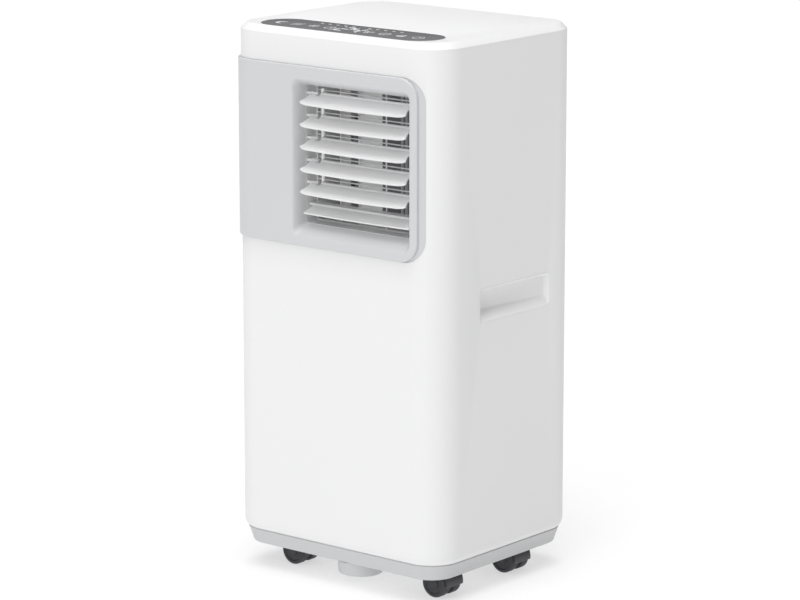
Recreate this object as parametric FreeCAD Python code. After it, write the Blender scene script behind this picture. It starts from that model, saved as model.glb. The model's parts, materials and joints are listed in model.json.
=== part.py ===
import FreeCAD, Part
import math
import os

from FreeCAD import Vector as V

# Portable air conditioner, in millimetres. +Z is up, +Y points to the back,
# the floor is z = 0 and the casing's middle is x = y = 0 until export.

# --- casing -------------------------------------------------------------
BODY_WIDTH = 320.0          # white casing, left to right
BODY_DEPTH = 270.0          # white casing, front to back
BODY_HEIGHT = 660.0         # floor to the top face
CORNER_R = 42.0             # upright corners of the casing
WALL = 3.0                  # moulded wall
TOP_CHAMFER = 8.0           # bevel round the top face
SHELL_BOTTOM = 48.0         # lower edge of the white casing
FIT = 0.3                   # gap between nested mouldings

# --- base tray ----------------------------------------------------------
BASE_UNDERSIDE = 28.0
BASE_TAPER = 10.0           # how far the tray draws in at its underside
BASE_GROOVE = 1.5           # height of the shadow line under the casing
GROOVE_DEPTH = 1.4
TRAY_SKIRT = 10.0           # height of the skirt inside the casing
SUMP_R = 27.5               # round water well under the front of the tray
SUMP_BOTTOM = 10.0
SUMP_X = 10.0
SUMP_SETBACK = 42.0         # well's centre behind the casing's front
SUMP_FLARE = 4.0
DRAIN_R = 5.0
DRAIN_Z = 38.0
DRAIN_COLLAR = 2.5
PLUG_CLEAR = 0.2            # radial gap round the plug's stem

# --- castors ------------------------------------------------------------
WHEEL_R = 17.0
WHEEL_WIDTH = 12.0
WHEEL_GAP = 8.0             # between the two wheels of a castor
CASTOR_TRAIL = 15.0
CASTOR_SIDE_EDGE = 2.72     # tray left at its underside beside a castor's swing
CASTOR_FRONT_EDGE = 5.72    # the same in front of a front castor
CASTOR_REAR = 85.0          # swivel axis from the casing's back
STEM_R = 3.5
STEM_DEPTH = 11.0           # stem inside the castor's head
STEM_RISE = 5.0             # stem above the roof of the castor's well
AXLE_R = 2.5
RUNNING = 0.05              # radial clearance of every running fit
WELL_CLEAR = 2.5            # round the swinging castor
CASTOR_HEADROOM = 4.5       # castor's head above the tops of its wheels

# --- grey outlet frame --------------------------------------------------
FRAME_PROUD = 4.0           # frame stands in front of the casing
FRAME_TOP_DROP = 41.0       # frame's top edge below the top face
FRAME_HEIGHT = 213.0
FRAME_RIGHT = 30.0          # raised face's right end from the casing's side
FRAME_STEP = 9.0            # lower flange beside the raised face
FRAME_SIDE_LEG = 165.0      # how far the frame runs back along the left side
FRAME_CORNER_R = 24.0
FLANGE_SUNK = 0.8
FRAME_GAP = 0.5
FRAME_LIP = 5.0

# --- outlet, duct and louvres -------------------------------------------
OUTLET_WIDTH = 173.0
OUTLET_HEIGHT = 181.5
OUTLET_SIDE = 41.5          # outlet's right edge from the casing's side
OUTLET_TOP = 18.0           # outlet's top edge below the frame's top edge
OUTLET_R = 8.0
FUNNEL_DEPTH = 20.0
FUNNEL_SIDE = 4.0
FUNNEL_TOP = 7.0
FUNNEL_BOTTOM = 11.0
DUCT_WALL = 2.0
DUCT_LENGTH = 35.0
BLADE_COUNT = 5
BLADE_PITCH = 26.4
BLADE_CHORD = 25.5
BLADE_TILT = 26.0           # front edge down at rest
BLADE_THICK = 2.4
BLADE_END_GAP = 3.0         # between a blade's tip and the duct's wall
BLADE_SETBACK = 3.6         # pivots behind the funnel's end
FIRST_PIVOT_DROP = 10.0     # top pivot below the duct's ceiling
PIVOT_R = 1.8
BARREL_R = 2.3
LINK_INSET = 16.0           # link bar from the blade's left end
LINK_ARM = 6.0
LINK_SIZE = 3.0
LINK_PIN_R = 1.1
LIP_DROP = 25.0             # fixed lip's front edge below the last blade's
LIP_DEPTH = 30.0
LIP_TILT = 20.0
GUARD_SETBACK = 19.0        # guard behind the funnel's end
GUARD_WIRE = 1.6

# --- control panel ------------------------------------------------------
PANEL_LENGTH = 260.0
PANEL_DEPTH = 60.0
PANEL_FRONT = 10.0          # panel's front edge from the casing's front
PANEL_THICK = 2.2
TOP_PLATE = 3.5

# --- hand pockets -------------------------------------------------------
POCKET_LENGTH = 134.0
POCKET_HEIGHT = 40.5
POCKET_FRONT = 78.0         # pocket's front end from the casing's front
POCKET_BOTTOM = 327.5
POCKET_R = 6.0
POCKET_DEEP = 15.0
POCKET_SHALLOW = 5.0

# --- rear panel, hose socket and filters --------------------------------
REAR_PANEL_WIDTH = 228.0
REAR_FLANGE = 16.0          # landing of the rear panel, each side
REAR_PROUD = 6.0            # how far rear fittings stand behind the casing
FILTER_WIDTH = 188.0
FILTER_R = 6.0
UPPER_FILTER_TOP_DROP = 38.0
UPPER_FILTER_HEIGHT = 210.0
LOWER_FILTER_BOTTOM = 66.0
LOWER_FILTER_HEIGHT = 166.0
GRILLE_PITCH = 11.0
GRILLE_BAR = 2.4
GRILLE_BORDER = 9.0
GRILLE_THICK = 4.0
MESH_THICK = 0.8
HOSE_BORE_R = 74.0
HOSE_WALL = 4.0
HOSE_X = 32.0
HOSE_Z = 314.0
PLENUM_FRONT = 102.0        # plenum's front wall from the casing's back
HOSE_STOP = 3.0             # ring at the socket's inner end that the hose stops on
GLAND_X = -80.0
GLAND_Z = 300.0
GLAND_R = 9.0
CORD_R = 3.6
SCREW_HEAD_R = 3.8
SCREW_R = 1.5
SCREW_HEAD = 1.8
SCREW_LENGTH = 9.0

# --- refrigeration and air handling -------------------------------------
DECK_DROP = 264.0           # divider deck's top below the top face
DECK_THICK = 3.0
COLD_WHEEL_R = 58.0
COLD_WHEEL_LENGTH = 118.0
COLD_SNAIL_GAP = 2.0        # cold fan's scroll behind the duct's end
HOT_WHEEL_R = 70.0
HOT_WHEEL_LENGTH = 44.0
HOT_CENTRE_X = -20.0
HOT_CENTRE_Z = 145.0
VOLUTE_CLEAR = 13.0         # wheel to the start of the volute
VOLUTE_GROWTH = 6.0         # added to the radius each quarter turn
SCROLL_WALL = 2.0
FAN_BLADES = 28
MOTOR_SHAFT_R = 4.0
COIL_DEPTH = 26.0
COIL_TUBE_R = 4.0
COMPRESSOR_R = 48.0
COMPRESSOR_HEIGHT = 200.0
COMPRESSOR_FEET_Z = 50.0
COMPRESSOR_SETBACK = 73.0   # compressor's axis behind the casing's front
FOOT_CIRCLE_R = 52.0
ACCUMULATOR_HEIGHT = 92.0
DISCHARGE_OUT = 8.0         # pipes, outward from the coils' tube ends
LIQUID_OUT = 17.0
SUCTION_OUT = 28.0

# --- places worked out from the values above ----------------------------
LEFT, RIGHT = -BODY_WIDTH / 2, BODY_WIDTH / 2
FRONT, BACK = -BODY_DEPTH / 2, BODY_DEPTH / 2
SHELL_TOP = BODY_HEIGHT - TOP_CHAMFER
FRAME_FACE = FRONT - FRAME_PROUD
FRAME_TOP = BODY_HEIGHT - FRAME_TOP_DROP
FRAME_BOTTOM = FRAME_TOP - FRAME_HEIGHT
OUTLET_X1 = RIGHT - OUTLET_SIDE
OUTLET_X0 = OUTLET_X1 - OUTLET_WIDTH
OUTLET_Z1 = FRAME_TOP - OUTLET_TOP
OUTLET_Z0 = OUTLET_Z1 - OUTLET_HEIGHT
DUCT_X0, DUCT_X1 = OUTLET_X0 + FUNNEL_SIDE, OUTLET_X1 - FUNNEL_SIDE
DUCT_Z0, DUCT_Z1 = OUTLET_Z0 + FUNNEL_BOTTOM, OUTLET_Z1 - FUNNEL_TOP
DUCT_Y0 = FRAME_FACE + FUNNEL_DEPTH
DUCT_Y1 = DUCT_Y0 + DUCT_LENGTH
PIVOT_Y = DUCT_Y0 + BLADE_SETBACK
PIVOT_Z = DUCT_Z1 - FIRST_PIVOT_DROP
BLADE_X = (DUCT_X0 + DUCT_X1) / 2
BLADE_SPAN = DUCT_X1 - DUCT_X0 - 2 * BLADE_END_GAP
BLADE_X0, BLADE_X1 = BLADE_X - BLADE_SPAN / 2, BLADE_X + BLADE_SPAN / 2
LINK_X = BLADE_X0 + LINK_INSET
DECK_Z = BODY_HEIGHT - DECK_DROP
COLD_R0 = COLD_WHEEL_R + VOLUTE_CLEAR
COLD_Z = DUCT_Z1 - COLD_R0 - 4 * VOLUTE_GROWTH
HOT_R0 = HOT_WHEEL_R + VOLUTE_CLEAR
CASTOR_SWING_R = math.hypot(CASTOR_TRAIL + WHEEL_R, WHEEL_GAP / 2 + WHEEL_WIDTH) + WELL_CLEAR
CASTOR_TOP = 2 * WHEEL_R + CASTOR_HEADROOM
CASTOR_INSET_X = CASTOR_SWING_R + BASE_TAPER + CASTOR_SIDE_EDGE
CASTOR_FRONT_Y = FRONT + CASTOR_SWING_R + BASE_TAPER + CASTOR_FRONT_EDGE
CASTOR_PLACES = {
    "front_left": (LEFT + CASTOR_INSET_X, CASTOR_FRONT_Y),
    "front_right": (RIGHT - CASTOR_INSET_X, CASTOR_FRONT_Y),
    "rear_left": (LEFT + CASTOR_INSET_X, BACK - CASTOR_REAR),
    "rear_right": (RIGHT - CASTOR_INSET_X, BACK - CASTOR_REAR),
}
SUMP = V(SUMP_X, FRONT + SUMP_SETBACK, SUMP_BOTTOM)
COMPRESSOR = V(0, FRONT + COMPRESSOR_SETBACK, COMPRESSOR_FEET_Z)
INNER_BACK = BACK - WALL
HOT_Y1 = BACK - 55.0        # rear face of the hot fan's scroll, inside
HOT_Y0 = HOT_Y1 - HOT_WHEEL_LENGTH - 6.0
COLD_Y = DUCT_Y1 + COLD_R0 + SCROLL_WALL + COLD_SNAIL_GAP
COLD_X = (DUCT_X0 + DUCT_X1) / 2
CENTRE_SHIFT = V(FRAME_PROUD / 2, (FRAME_PROUD - REAR_PROUD) / 2, 0)


# --- drawing helpers ----------------------------------------------------
def outline(u0, u1, v0, v1, radii, place):
    """Closed wire of a rectangle, its corners rounded; place maps (u, v) to a point.

    radii are those of the corners (u1, v0), (u1, v1), (u0, v1) and (u0, v0).
    """
    if not isinstance(radii, (tuple, list)):
        radii = (radii,) * 4
    corners = [(u1, v0, -1, 0, 0, 1), (u1, v1, 0, -1, -1, 0),
               (u0, v1, 1, 0, 0, -1), (u0, v0, 0, 1, 1, 0)]
    edges, stretches = [], []
    sag = 1 - math.sqrt(0.5)
    for (u, v, au, av, bu, bv), r in zip(corners, radii):
        start = place(u + au * r, v + av * r)
        end = place(u + bu * r, v + bv * r)
        middle = place(u + (au + bu) * r * sag, v + (av + bv) * r * sag)
        stretches.append((start, middle, end, r))
    for i, (start, middle, end, r) in enumerate(stretches):
        if r > 0:
            edges.append(Part.Arc(start, middle, end).toShape())
        following = stretches[(i + 1) % 4][0]
        if end.distanceToPoint(following) > 1e-6:
            edges.append(Part.LineSegment(end, following).toShape())
    return Part.Wire(edges)


def level(z):
    """Map (u, v) to the level plane at z."""
    return lambda u, v: V(u, v, z)


def upright(y):
    """Map (u, v) to the plane facing front at y: u is x and v is z."""
    return lambda u, v: V(u, y, v)


def sideways(x):
    """Map (u, v) to the plane facing sideways at x: u is y and v is z."""
    return lambda u, v: V(x, u, v)


def prism(wire, along):
    """Solid swept by a closed flat wire along a vector."""
    return Part.Face(wire).extrude(along)


def loft(first, last):
    """Solid with straight sides between two closed wires."""
    return Part.makeLoft([first, last], True, True)


def box(x0, x1, y0, y1, z0, z1):
    """Block between two corners."""
    return Part.makeBox(x1 - x0, y1 - y0, z1 - z0, V(x0, y0, z0))


def rod(radius, start, end):
    """Round bar from one point to another."""
    return Part.makeCylinder(radius, start.distanceToPoint(end), start, end - start)


def ring(outer, inner, start, end):
    """Tube from one point to another."""
    return rod(outer, start, end).cut(rod(inner, start, end))


def casing_wire(inset, z):
    """Plan outline of the casing, drawn in by inset."""
    return outline(LEFT + inset, RIGHT - inset, FRONT + inset, BACK - inset, CORNER_R - inset, level(z))


def casing(inset, z0, z1):
    """Upright block with the casing's plan, drawn in by inset."""
    return prism(casing_wire(inset, z0), V(0, 0, z1 - z0))


def casing_ring(outer_inset, inner_inset, z0, z1):
    """Upright wall that follows the casing's plan."""
    return casing(outer_inset, z0, z1).cut(casing(inner_inset, z0 - 1, z1 + 1))


def joined(first, *others):
    """Union of solids with the seams between coplanar faces removed."""
    return first.fuse(list(others)).removeSplitter()


def mirrored_x(shape):
    """Copy on the other side of the casing's middle."""
    return shape.mirror(V(0, 0, 0), V(1, 0, 0))


# --- base, castors and water well ---------------------------------------
def drain_wall():
    """Outer end of the drain collar behind the tray."""
    return BACK - 1.0


def make_base_tray():
    """Tapered drip tray with castor wells, water well, drain and skirt."""
    top = SHELL_BOTTOM - BASE_GROOVE
    floor = BASE_UNDERSIDE + WALL
    skirt_inset = WALL + FIT
    bay_inset = skirt_inset + WALL
    tray = joined(loft(casing_wire(BASE_TAPER, BASE_UNDERSIDE), casing_wire(0.4, top)),
                  casing(GROOVE_DEPTH, top, SHELL_BOTTOM),
                  casing(skirt_inset, SHELL_BOTTOM, SHELL_BOTTOM + TRAY_SKIRT))
    bay = joined(loft(casing_wire(BASE_TAPER + WALL, floor), casing_wire(bay_inset, top)),
                 casing(bay_inset, top, SHELL_BOTTOM + TRAY_SKIRT + 1))
    roof = CASTOR_TOP + WALL
    adds, holes = [], []
    for x, y in CASTOR_PLACES.values():
        adds.append(rod(CASTOR_SWING_R + WALL, V(x, y, BASE_UNDERSIDE), V(x, y, roof))
                    .common(casing(bay_inset + BASE_TAPER / 2, 0, roof)))
        adds.append(rod(STEM_R + 4, V(x, y, CASTOR_TOP), V(x, y, roof + STEM_RISE + 2)))
        holes.append(rod(CASTOR_SWING_R, V(x, y, 0), V(x, y, CASTOR_TOP + FIT)))
        holes.append(rod(STEM_R + RUNNING, V(x, y, 0), V(x, y, roof + STEM_RISE)))
    for foot in compressor_foot_places():
        adds.append(rod(8, V(foot.x, foot.y, BASE_UNDERSIDE), V(foot.x, foot.y, COMPRESSOR_FEET_Z - 10)))
    well_top = V(SUMP.x, SUMP.y, BASE_UNDERSIDE)
    adds += [rod(SUMP_R, SUMP, V(SUMP.x, SUMP.y, floor)),
             Part.makeCone(SUMP_R, SUMP_R + SUMP_FLARE, SUMP_FLARE, well_top - V(0, 0, SUMP_FLARE))]
    holes.append(rod(SUMP_R - WALL, SUMP + V(0, 0, WALL), V(SUMP.x, SUMP.y, floor + 1)))
    drain_in = V(0, BACK - bay_inset - BASE_TAPER, DRAIN_Z)
    adds.append(rod(DRAIN_R + DRAIN_COLLAR, drain_in, V(0, drain_wall(), DRAIN_Z)))
    holes.append(rod(DRAIN_R, drain_in - V(0, 1, 0), V(0, BACK + 1, DRAIN_Z)))
    holes.append(rod(DRAIN_R + DRAIN_COLLAR + FIT, V(0, drain_wall(), DRAIN_Z), V(0, BACK + 1, DRAIN_Z)))
    guide = rod(3, SUMP + V(0, 0, WALL), V(SUMP.x, SUMP.y, floor + 9))
    return joined(tray.cut(bay), *adds).cut(holes).fuse(guide)


def make_float():
    """Ring float that rides up the well's guide as the water rises."""
    low = SUMP + V(0, 0, WALL + 0.2)
    return ring(14, 3.3, low, low + V(0, 0, 10))


def make_drain_plug():
    """Rubber plug with a flange and a finger tab."""
    collar = drain_wall()
    stem = rod(DRAIN_R - PLUG_CLEAR, V(0, collar - 10, DRAIN_Z), V(0, collar, DRAIN_Z))
    flange = rod(DRAIN_R + DRAIN_COLLAR, V(0, collar, DRAIN_Z), V(0, collar + 2.5, DRAIN_Z))
    tab = box(-1.5, 1.5, collar + 2, BACK + REAR_PROUD, DRAIN_Z - 5, DRAIN_Z + 5)
    return joined(stem, flange, tab)


def make_castor_stems():
    """Steel stems pressed up into the tray, one for each castor."""
    return [rod(STEM_R, V(x, y, CASTOR_TOP - STEM_DEPTH), V(x, y, CASTOR_TOP + WALL + STEM_RISE))
            for x, y in CASTOR_PLACES.values()]


def castor_axle(x, y):
    """Middle of a castor's axle."""
    return V(x + CASTOR_TRAIL, y, WHEEL_R)


def make_castor_hood(x, y):
    """Swivelling hood: round head, web between the wheels, mudguard and stub axles."""
    axle = castor_axle(x, y)
    half = WHEEL_GAP / 2 + WHEEL_WIDTH
    web_half = WHEEL_GAP / 2 - 0.4
    guard_in = WHEEL_R + 1.2
    head = rod(10, V(x, y, CASTOR_TOP - 12), V(x, y, CASTOR_TOP))
    rim = rod(13.5, V(x, y, CASTOR_TOP - 2.2), V(x, y, CASTOR_TOP))
    web = rod(WHEEL_R - 3, axle - V(0, web_half, 0), axle + V(0, web_half, 0))
    neck = box(x - 6, axle.x, y - web_half, y + web_half, WHEEL_R, CASTOR_TOP - 4)
    guard = ring(guard_in + 1.8, guard_in, axle - V(0, half, 0), axle + V(0, half, 0))
    sector = [V(0, 0, 0), V(60, 0, -10), V(60, 0, 60), V(-30, 0, 60), V(0, 0, 0)]
    wedge = Part.makePolygon([axle - V(0, half + 1, 0) + p for p in sector])
    guard = guard.common(prism(wedge, V(0, 2 * half + 2, 0)))
    bridge = rod(guard_in + 1.8, axle - V(0, web_half, 0), axle + V(0, web_half, 0))
    guard = guard.fuse(bridge.common(prism(wedge, V(0, 2 * half + 2, 0))))
    pins = rod(AXLE_R, axle - V(0, half - 1, 0), axle + V(0, half - 1, 0))
    hood = joined(head, rim, web, neck, guard, pins)
    hood = hood.common(box(x - 60, x + 60, y - 60, y + 60, 0, CASTOR_TOP))
    wheel_room = [rod(guard_in, axle + V(0, s * (web_half + 0.01), 0), axle + V(0, s * (half + 1), 0))
                  for s in (-1, 1)]
    hood = hood.cut(wheel_room).fuse(pins)
    return hood.cut(rod(STEM_R + RUNNING, V(x, y, CASTOR_TOP - STEM_DEPTH - FIT), V(x, y, CASTOR_TOP + 1)))


def make_castor_wheel(x, y, side):
    """One wheel of the pair; side is -1 at the front of the castor and 1 at its back."""
    axle = castor_axle(x, y)
    inner = axle + V(0, side * WHEEL_GAP / 2, 0)
    outer = axle + V(0, side * (WHEEL_GAP / 2 + WHEEL_WIDTH), 0)
    wheel = rod(WHEEL_R, inner, outer)
    rims = [e for e in wheel.Edges if e.Curve.TypeId == "Part::GeomCircle"]
    wheel = wheel.makeFillet(2.0, rims)
    dish = ring(WHEEL_R - 4, 5.5, outer - V(0, side * 1.5, 0), outer + V(0, side, 0))
    return wheel.cut([dish, rod(AXLE_R + RUNNING, inner - V(0, side, 0), outer - V(0, side * 0.8, 0))])


# --- casing -------------------------------------------------------------
def frame_region(growth, step, corner):
    """Block that covers the grey frame's outline: across the front and back along the left side.

    step lengthens both ends, and growth widens the whole outline.
    """
    z0, z1 = FRAME_BOTTOM - growth, FRAME_TOP + growth
    turn = FRONT + CORNER_R + 4
    right = RIGHT - FRAME_RIGHT + step
    across = prism(outline(LEFT - 40, right + growth, z0, z1, (corner, corner, 0, 0), upright(FRONT - 40)),
                   V(0, turn - FRONT + 40, 0))
    back_end = FRONT + FRAME_SIDE_LEG + step + growth
    along = prism(outline(turn - 1, back_end, z0, z1, (corner, corner, 0, 0), sideways(LEFT - 40)),
                  V(CORNER_R + 44, 0, 0))
    return across.fuse(along)


def flange_region(growth):
    """Outline of the frame with its lower flange."""
    return frame_region(growth, FRAME_STEP, FRAME_CORNER_R + FRAME_STEP / 2)


def pocket_prism(growth, x0, x1):
    """Block through the casing's right side with the hand pocket's outline."""
    y0 = FRONT + POCKET_FRONT
    wire = outline(y0 - growth, y0 + POCKET_LENGTH + growth, POCKET_BOTTOM - growth,
                   POCKET_BOTTOM + POCKET_HEIGHT + growth, POCKET_R + growth, sideways(x0))
    return prism(wire, V(x1 - x0, 0, 0))


def rear_screw_places():
    """Centres of the rear panel's screws, on the casing's back."""
    x = REAR_PANEL_WIDTH / 2 - 8
    heights = (SHELL_BOTTOM + 26, HOSE_Z - 72, HOSE_Z + 72, SHELL_TOP - 24)
    return [V(side * x, BACK, z) for side in (-1, 1) for z in heights]


def make_front_shell():
    """White casing: front and both sides in one, with landings for the rear panel."""
    wall = casing_ring(0, WALL, SHELL_BOTTOM, SHELL_TOP)
    half = REAR_PANEL_WIDTH / 2
    opening = box(-half - FIT, half + FIT, BACK - WALL - 1, BACK + 1, SHELL_BOTTOM - 1, SHELL_TOP + 1)
    landings = []
    for side in (-1, 1):
        inner, outer = side * (half - REAR_FLANGE), side * (half + 5)
        landings.append(box(min(inner, outer), max(inner, outer), INNER_BACK - WALL, INNER_BACK,
                            SHELL_BOTTOM + TRAY_SKIRT + FIT, SHELL_TOP - 8).common(casing(1, 0, BODY_HEIGHT)))
    holes = [rod(SCREW_R + RUNNING, p - V(0, SCREW_LENGTH + 1, 0), p + V(0, 1, 0))
             for p in rear_screw_places()]
    pocket = pocket_prism(0, RIGHT - 20, RIGHT + 5)
    frame_hole = flange_region(FRAME_GAP).common(casing_ring(-10, 10, FRAME_BOTTOM - 5, FRAME_TOP + 5))
    hose_room = hose_prism(FIT, INNER_BACK - 10, BACK + 1)
    holes += [frame_hole, pocket, mirrored_x(pocket), hose_room]
    return joined(wall.cut(opening), *landings).cut(holes)


def hose_prism(growth, y0, y1):
    """Round block that covers the hose socket's tube."""
    return rod(HOSE_BORE_R + HOSE_WALL + growth, V(HOSE_X, y0, HOSE_Z), V(HOSE_X, y1, HOSE_Z))


def make_top_cover():
    """Bevelled lid with a locating skirt and a recess for the control panel."""
    rim = loft(casing_wire(0, SHELL_TOP), casing_wire(TOP_CHAMFER, BODY_HEIGHT))
    hollow = casing(TOP_CHAMFER + 2, SHELL_TOP - 1, BODY_HEIGHT - TOP_PLATE)
    skirt = casing_ring(WALL + FIT, WALL + FIT + 2.5, SHELL_TOP - 7, SHELL_TOP)
    ledge = casing_ring(WALL + FIT, TOP_CHAMFER + 2, SHELL_TOP - 0.01, SHELL_TOP + 1)
    lid = joined(rim.cut(hollow), skirt, ledge)
    recess = panel_prism(FIT / 2, BODY_HEIGHT - PANEL_THICK, BODY_HEIGHT + 1)
    window = panel_prism(-6, BODY_HEIGHT - TOP_PLATE - 1, BODY_HEIGHT)
    return lid.cut([recess, window])


def panel_prism(growth, z0, z1):
    """Upright block with the control panel's long rounded outline."""
    y0 = FRONT + PANEL_FRONT
    r = PANEL_DEPTH / 2 + growth
    wire = outline(-PANEL_LENGTH / 2 - growth, PANEL_LENGTH / 2 + growth,
                   y0 - growth, y0 + PANEL_DEPTH + growth, r - 0.01, level(z0))
    return prism(wire, V(0, 0, z1 - z0))


def make_control_panel():
    """Dark touch lens let into the lid."""
    return panel_prism(0, BODY_HEIGHT - PANEL_THICK, BODY_HEIGHT + 0.2)


def make_display_board():
    """Circuit board with a digit block and touch pads, under the lens."""
    y = FRONT + PANEL_FRONT + PANEL_DEPTH / 2
    top = BODY_HEIGHT - PANEL_THICK
    board = box(-108, 108, y - 17, y + 17, top - 5.2, top - 3.6)
    digits = box(-16, 16, y - 9, y + 9, top - 3.6, top)
    pads = [rod(6, V(x, y, top - 3.6), V(x, y, top)) for x in (-92, -70, -48, -30, 30, 48, 70, 92)]
    return joined(board, digits, *pads)


def make_hand_pocket():
    """Cup that lines the hand hole in the right side; its floor rises to the back."""
    y0 = FRONT + POCKET_FRONT
    y1 = y0 + POCKET_LENGTH
    z0, z1 = POCKET_BOTTOM, POCKET_BOTTOM + POCKET_HEIGHT
    mouth = outline(y0 + 1, y1 - 1, z0 + 1, z1 - 1, POCKET_R - 1, sideways(RIGHT + 0.01))
    slope = (POCKET_DEEP - POCKET_SHALLOW) / POCKET_LENGTH

    def on_floor(u, v):
        """Point of the sloping floor at depth and height."""
        return V(RIGHT - POCKET_DEEP + slope * (u - y0), u, v)

    floor = outline(y0 + 2, y1 - 6, z0 + 11, z1 - 3, POCKET_R - 2, on_floor)
    cavity = loft(floor, mouth)
    block = pocket_prism(0, RIGHT - POCKET_DEEP - 2, RIGHT)
    flange = pocket_prism(4, RIGHT - WALL - 1.5, RIGHT - WALL)
    under_wire = Part.makePolygon([V(RIGHT - POCKET_DEEP - 2.01, y0 - 9, z0 - 9),
                                   V(RIGHT - POCKET_SHALLOW - 2 + slope * 9, y1 + 9, z0 - 9),
                                   V(RIGHT - POCKET_DEEP - 2.01, y1 + 9, z0 - 9),
                                   V(RIGHT - POCKET_DEEP - 2.01, y0 - 9, z0 - 9)])
    excess = prism(under_wire, V(0, 0, POCKET_HEIGHT + 18))
    return joined(block.cut(excess), flange.cut(block)).cut(cavity)


def filter_region(z0, height, growth, y0, y1):
    """Block with a filter's outline."""
    wire = outline(-FILTER_WIDTH / 2 - growth, FILTER_WIDTH / 2 + growth, z0 - growth,
                   z0 + height + growth, max(FILTER_R + growth, 1.0), upright(y0))
    return prism(wire, V(0, y1 - y0, 0))


def filter_places():
    """Bottom and height of each filter, by name."""
    upper_z = BODY_HEIGHT - UPPER_FILTER_TOP_DROP - UPPER_FILTER_HEIGHT
    return {"upper": (upper_z, UPPER_FILTER_HEIGHT), "lower": (LOWER_FILTER_BOTTOM, LOWER_FILTER_HEIGHT)}


def make_rear_panel():
    """White back with two filter bays, the hose hole and the cord hole."""
    half = REAR_PANEL_WIDTH / 2
    panel = box(-half, half, INNER_BACK, BACK, SHELL_BOTTOM, SHELL_TOP)
    holes = [filter_region(z, h, FIT, INNER_BACK - 1, BACK + 1) for z, h in filter_places().values()]
    holes.append(hose_prism(0, INNER_BACK - 1, BACK + 1))
    holes.append(rod(GLAND_R - 2, V(GLAND_X, INNER_BACK - 1, GLAND_Z), V(GLAND_X, BACK + 1, GLAND_Z)))
    holes += [rod(SCREW_R + RUNNING, p - V(0, WALL + 1, 0), p + V(0, 1, 0)) for p in rear_screw_places()]
    drain_room = rod(DRAIN_R + DRAIN_COLLAR + 2, V(0, INNER_BACK - 1, DRAIN_Z), V(0, BACK + 1, DRAIN_Z))
    return panel.cut(holes + [drain_room])


def make_filter_frame(z0, height):
    """Pull-out grille: border, slats, two uprights and a finger tab."""
    y0, y1 = BACK - 1.5, BACK - 1.5 + GRILLE_THICK
    half = FILTER_WIDTH / 2
    inside = filter_region(z0, height, -GRILLE_BORDER, y0 - 1, y1 + 1)
    border = filter_region(z0, height, 0, y0, y1).cut(inside)
    count = int((height - 2 * GRILLE_BORDER) / GRILLE_PITCH)
    pitch = (height - 2 * GRILLE_BORDER) / count
    slats = [box(-half + 2, half - 2, y0 + 0.6, y1 - 0.4, z0 + GRILLE_BORDER + i * pitch - GRILLE_BAR / 2,
                 z0 + GRILLE_BORDER + i * pitch + GRILLE_BAR / 2) for i in range(1, count)]
    uprights = [box(x - 1.5, x + 1.5, y0 + 0.6, y1 - 1.4, z0 + 2, z0 + height - 2)
                for x in (-half / 3, half / 3)]
    tab = box(-16, 16, y0 + 1, BACK + REAR_PROUD - 0.5, z0 + height - 6.5, z0 + height - 4)
    guide = filter_region(z0, height, 0, INNER_BACK - 6, y0).cut(
        filter_region(z0, height, -2.5, INNER_BACK - 7, y0 + 1))
    return joined(border, *slats, *uprights, tab, guide)


def make_filter_mesh(z0, height):
    """Dust mesh stretched inside the pull-out grille."""
    y1 = BACK - 1.5
    return filter_region(z0, height, -2.5 - FIT / 2, y1 - MESH_THICK, y1)


def make_hose_socket():
    """Round socket for the exhaust hose's adaptor, with a flange on the back."""
    r = HOSE_BORE_R
    start, back = V(HOSE_X, INNER_BACK - 14, HOSE_Z), V(HOSE_X, BACK + REAR_PROUD, HOSE_Z)
    tube = ring(r + HOSE_WALL - FIT, r, start, back)
    flange = ring(r + HOSE_WALL + 3, r, V(HOSE_X, BACK, HOSE_Z), V(HOSE_X, BACK + 2.5, HOSE_Z))
    return joined(tube, flange)


def make_cord_gland():
    """Rubber inlet where the mains lead would enter."""
    bore = CORD_R
    centre = V(GLAND_X, BACK, GLAND_Z)
    neck = rod(GLAND_R - 2 - RUNNING, centre - V(0, WALL, 0), centre)
    inner = rod(GLAND_R, centre - V(0, WALL + 2, 0), centre - V(0, WALL, 0))
    outer = Part.makeCone(GLAND_R, GLAND_R - 3, REAR_PROUD - 0.5, centre, V(0, 1, 0))
    return joined(neck, inner, outer).cut(rod(bore, centre - V(0, 10, 0), centre + V(0, 10, 0)))


def make_rear_screws():
    """Pan-head screws through the rear panel."""
    return [joined(rod(SCREW_R, p - V(0, SCREW_LENGTH, 0), p),
                   rod(SCREW_HEAD_R, p, p + V(0, SCREW_HEAD, 0)))
            for p in rear_screw_places()]


# --- outlet -------------------------------------------------------------
def outlet_wire(growth, y, depth_share):
    """Outlet's outline at a depth between the frame's face (0) and the duct (1)."""
    return outline(OUTLET_X0 + FUNNEL_SIDE * depth_share - growth,
                   OUTLET_X1 - FUNNEL_SIDE * depth_share + growth,
                   OUTLET_Z0 + FUNNEL_BOTTOM * depth_share - growth,
                   OUTLET_Z1 - FUNNEL_TOP * depth_share + growth,
                   OUTLET_R * (1 - 0.6 * depth_share) + growth, upright(y))


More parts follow.
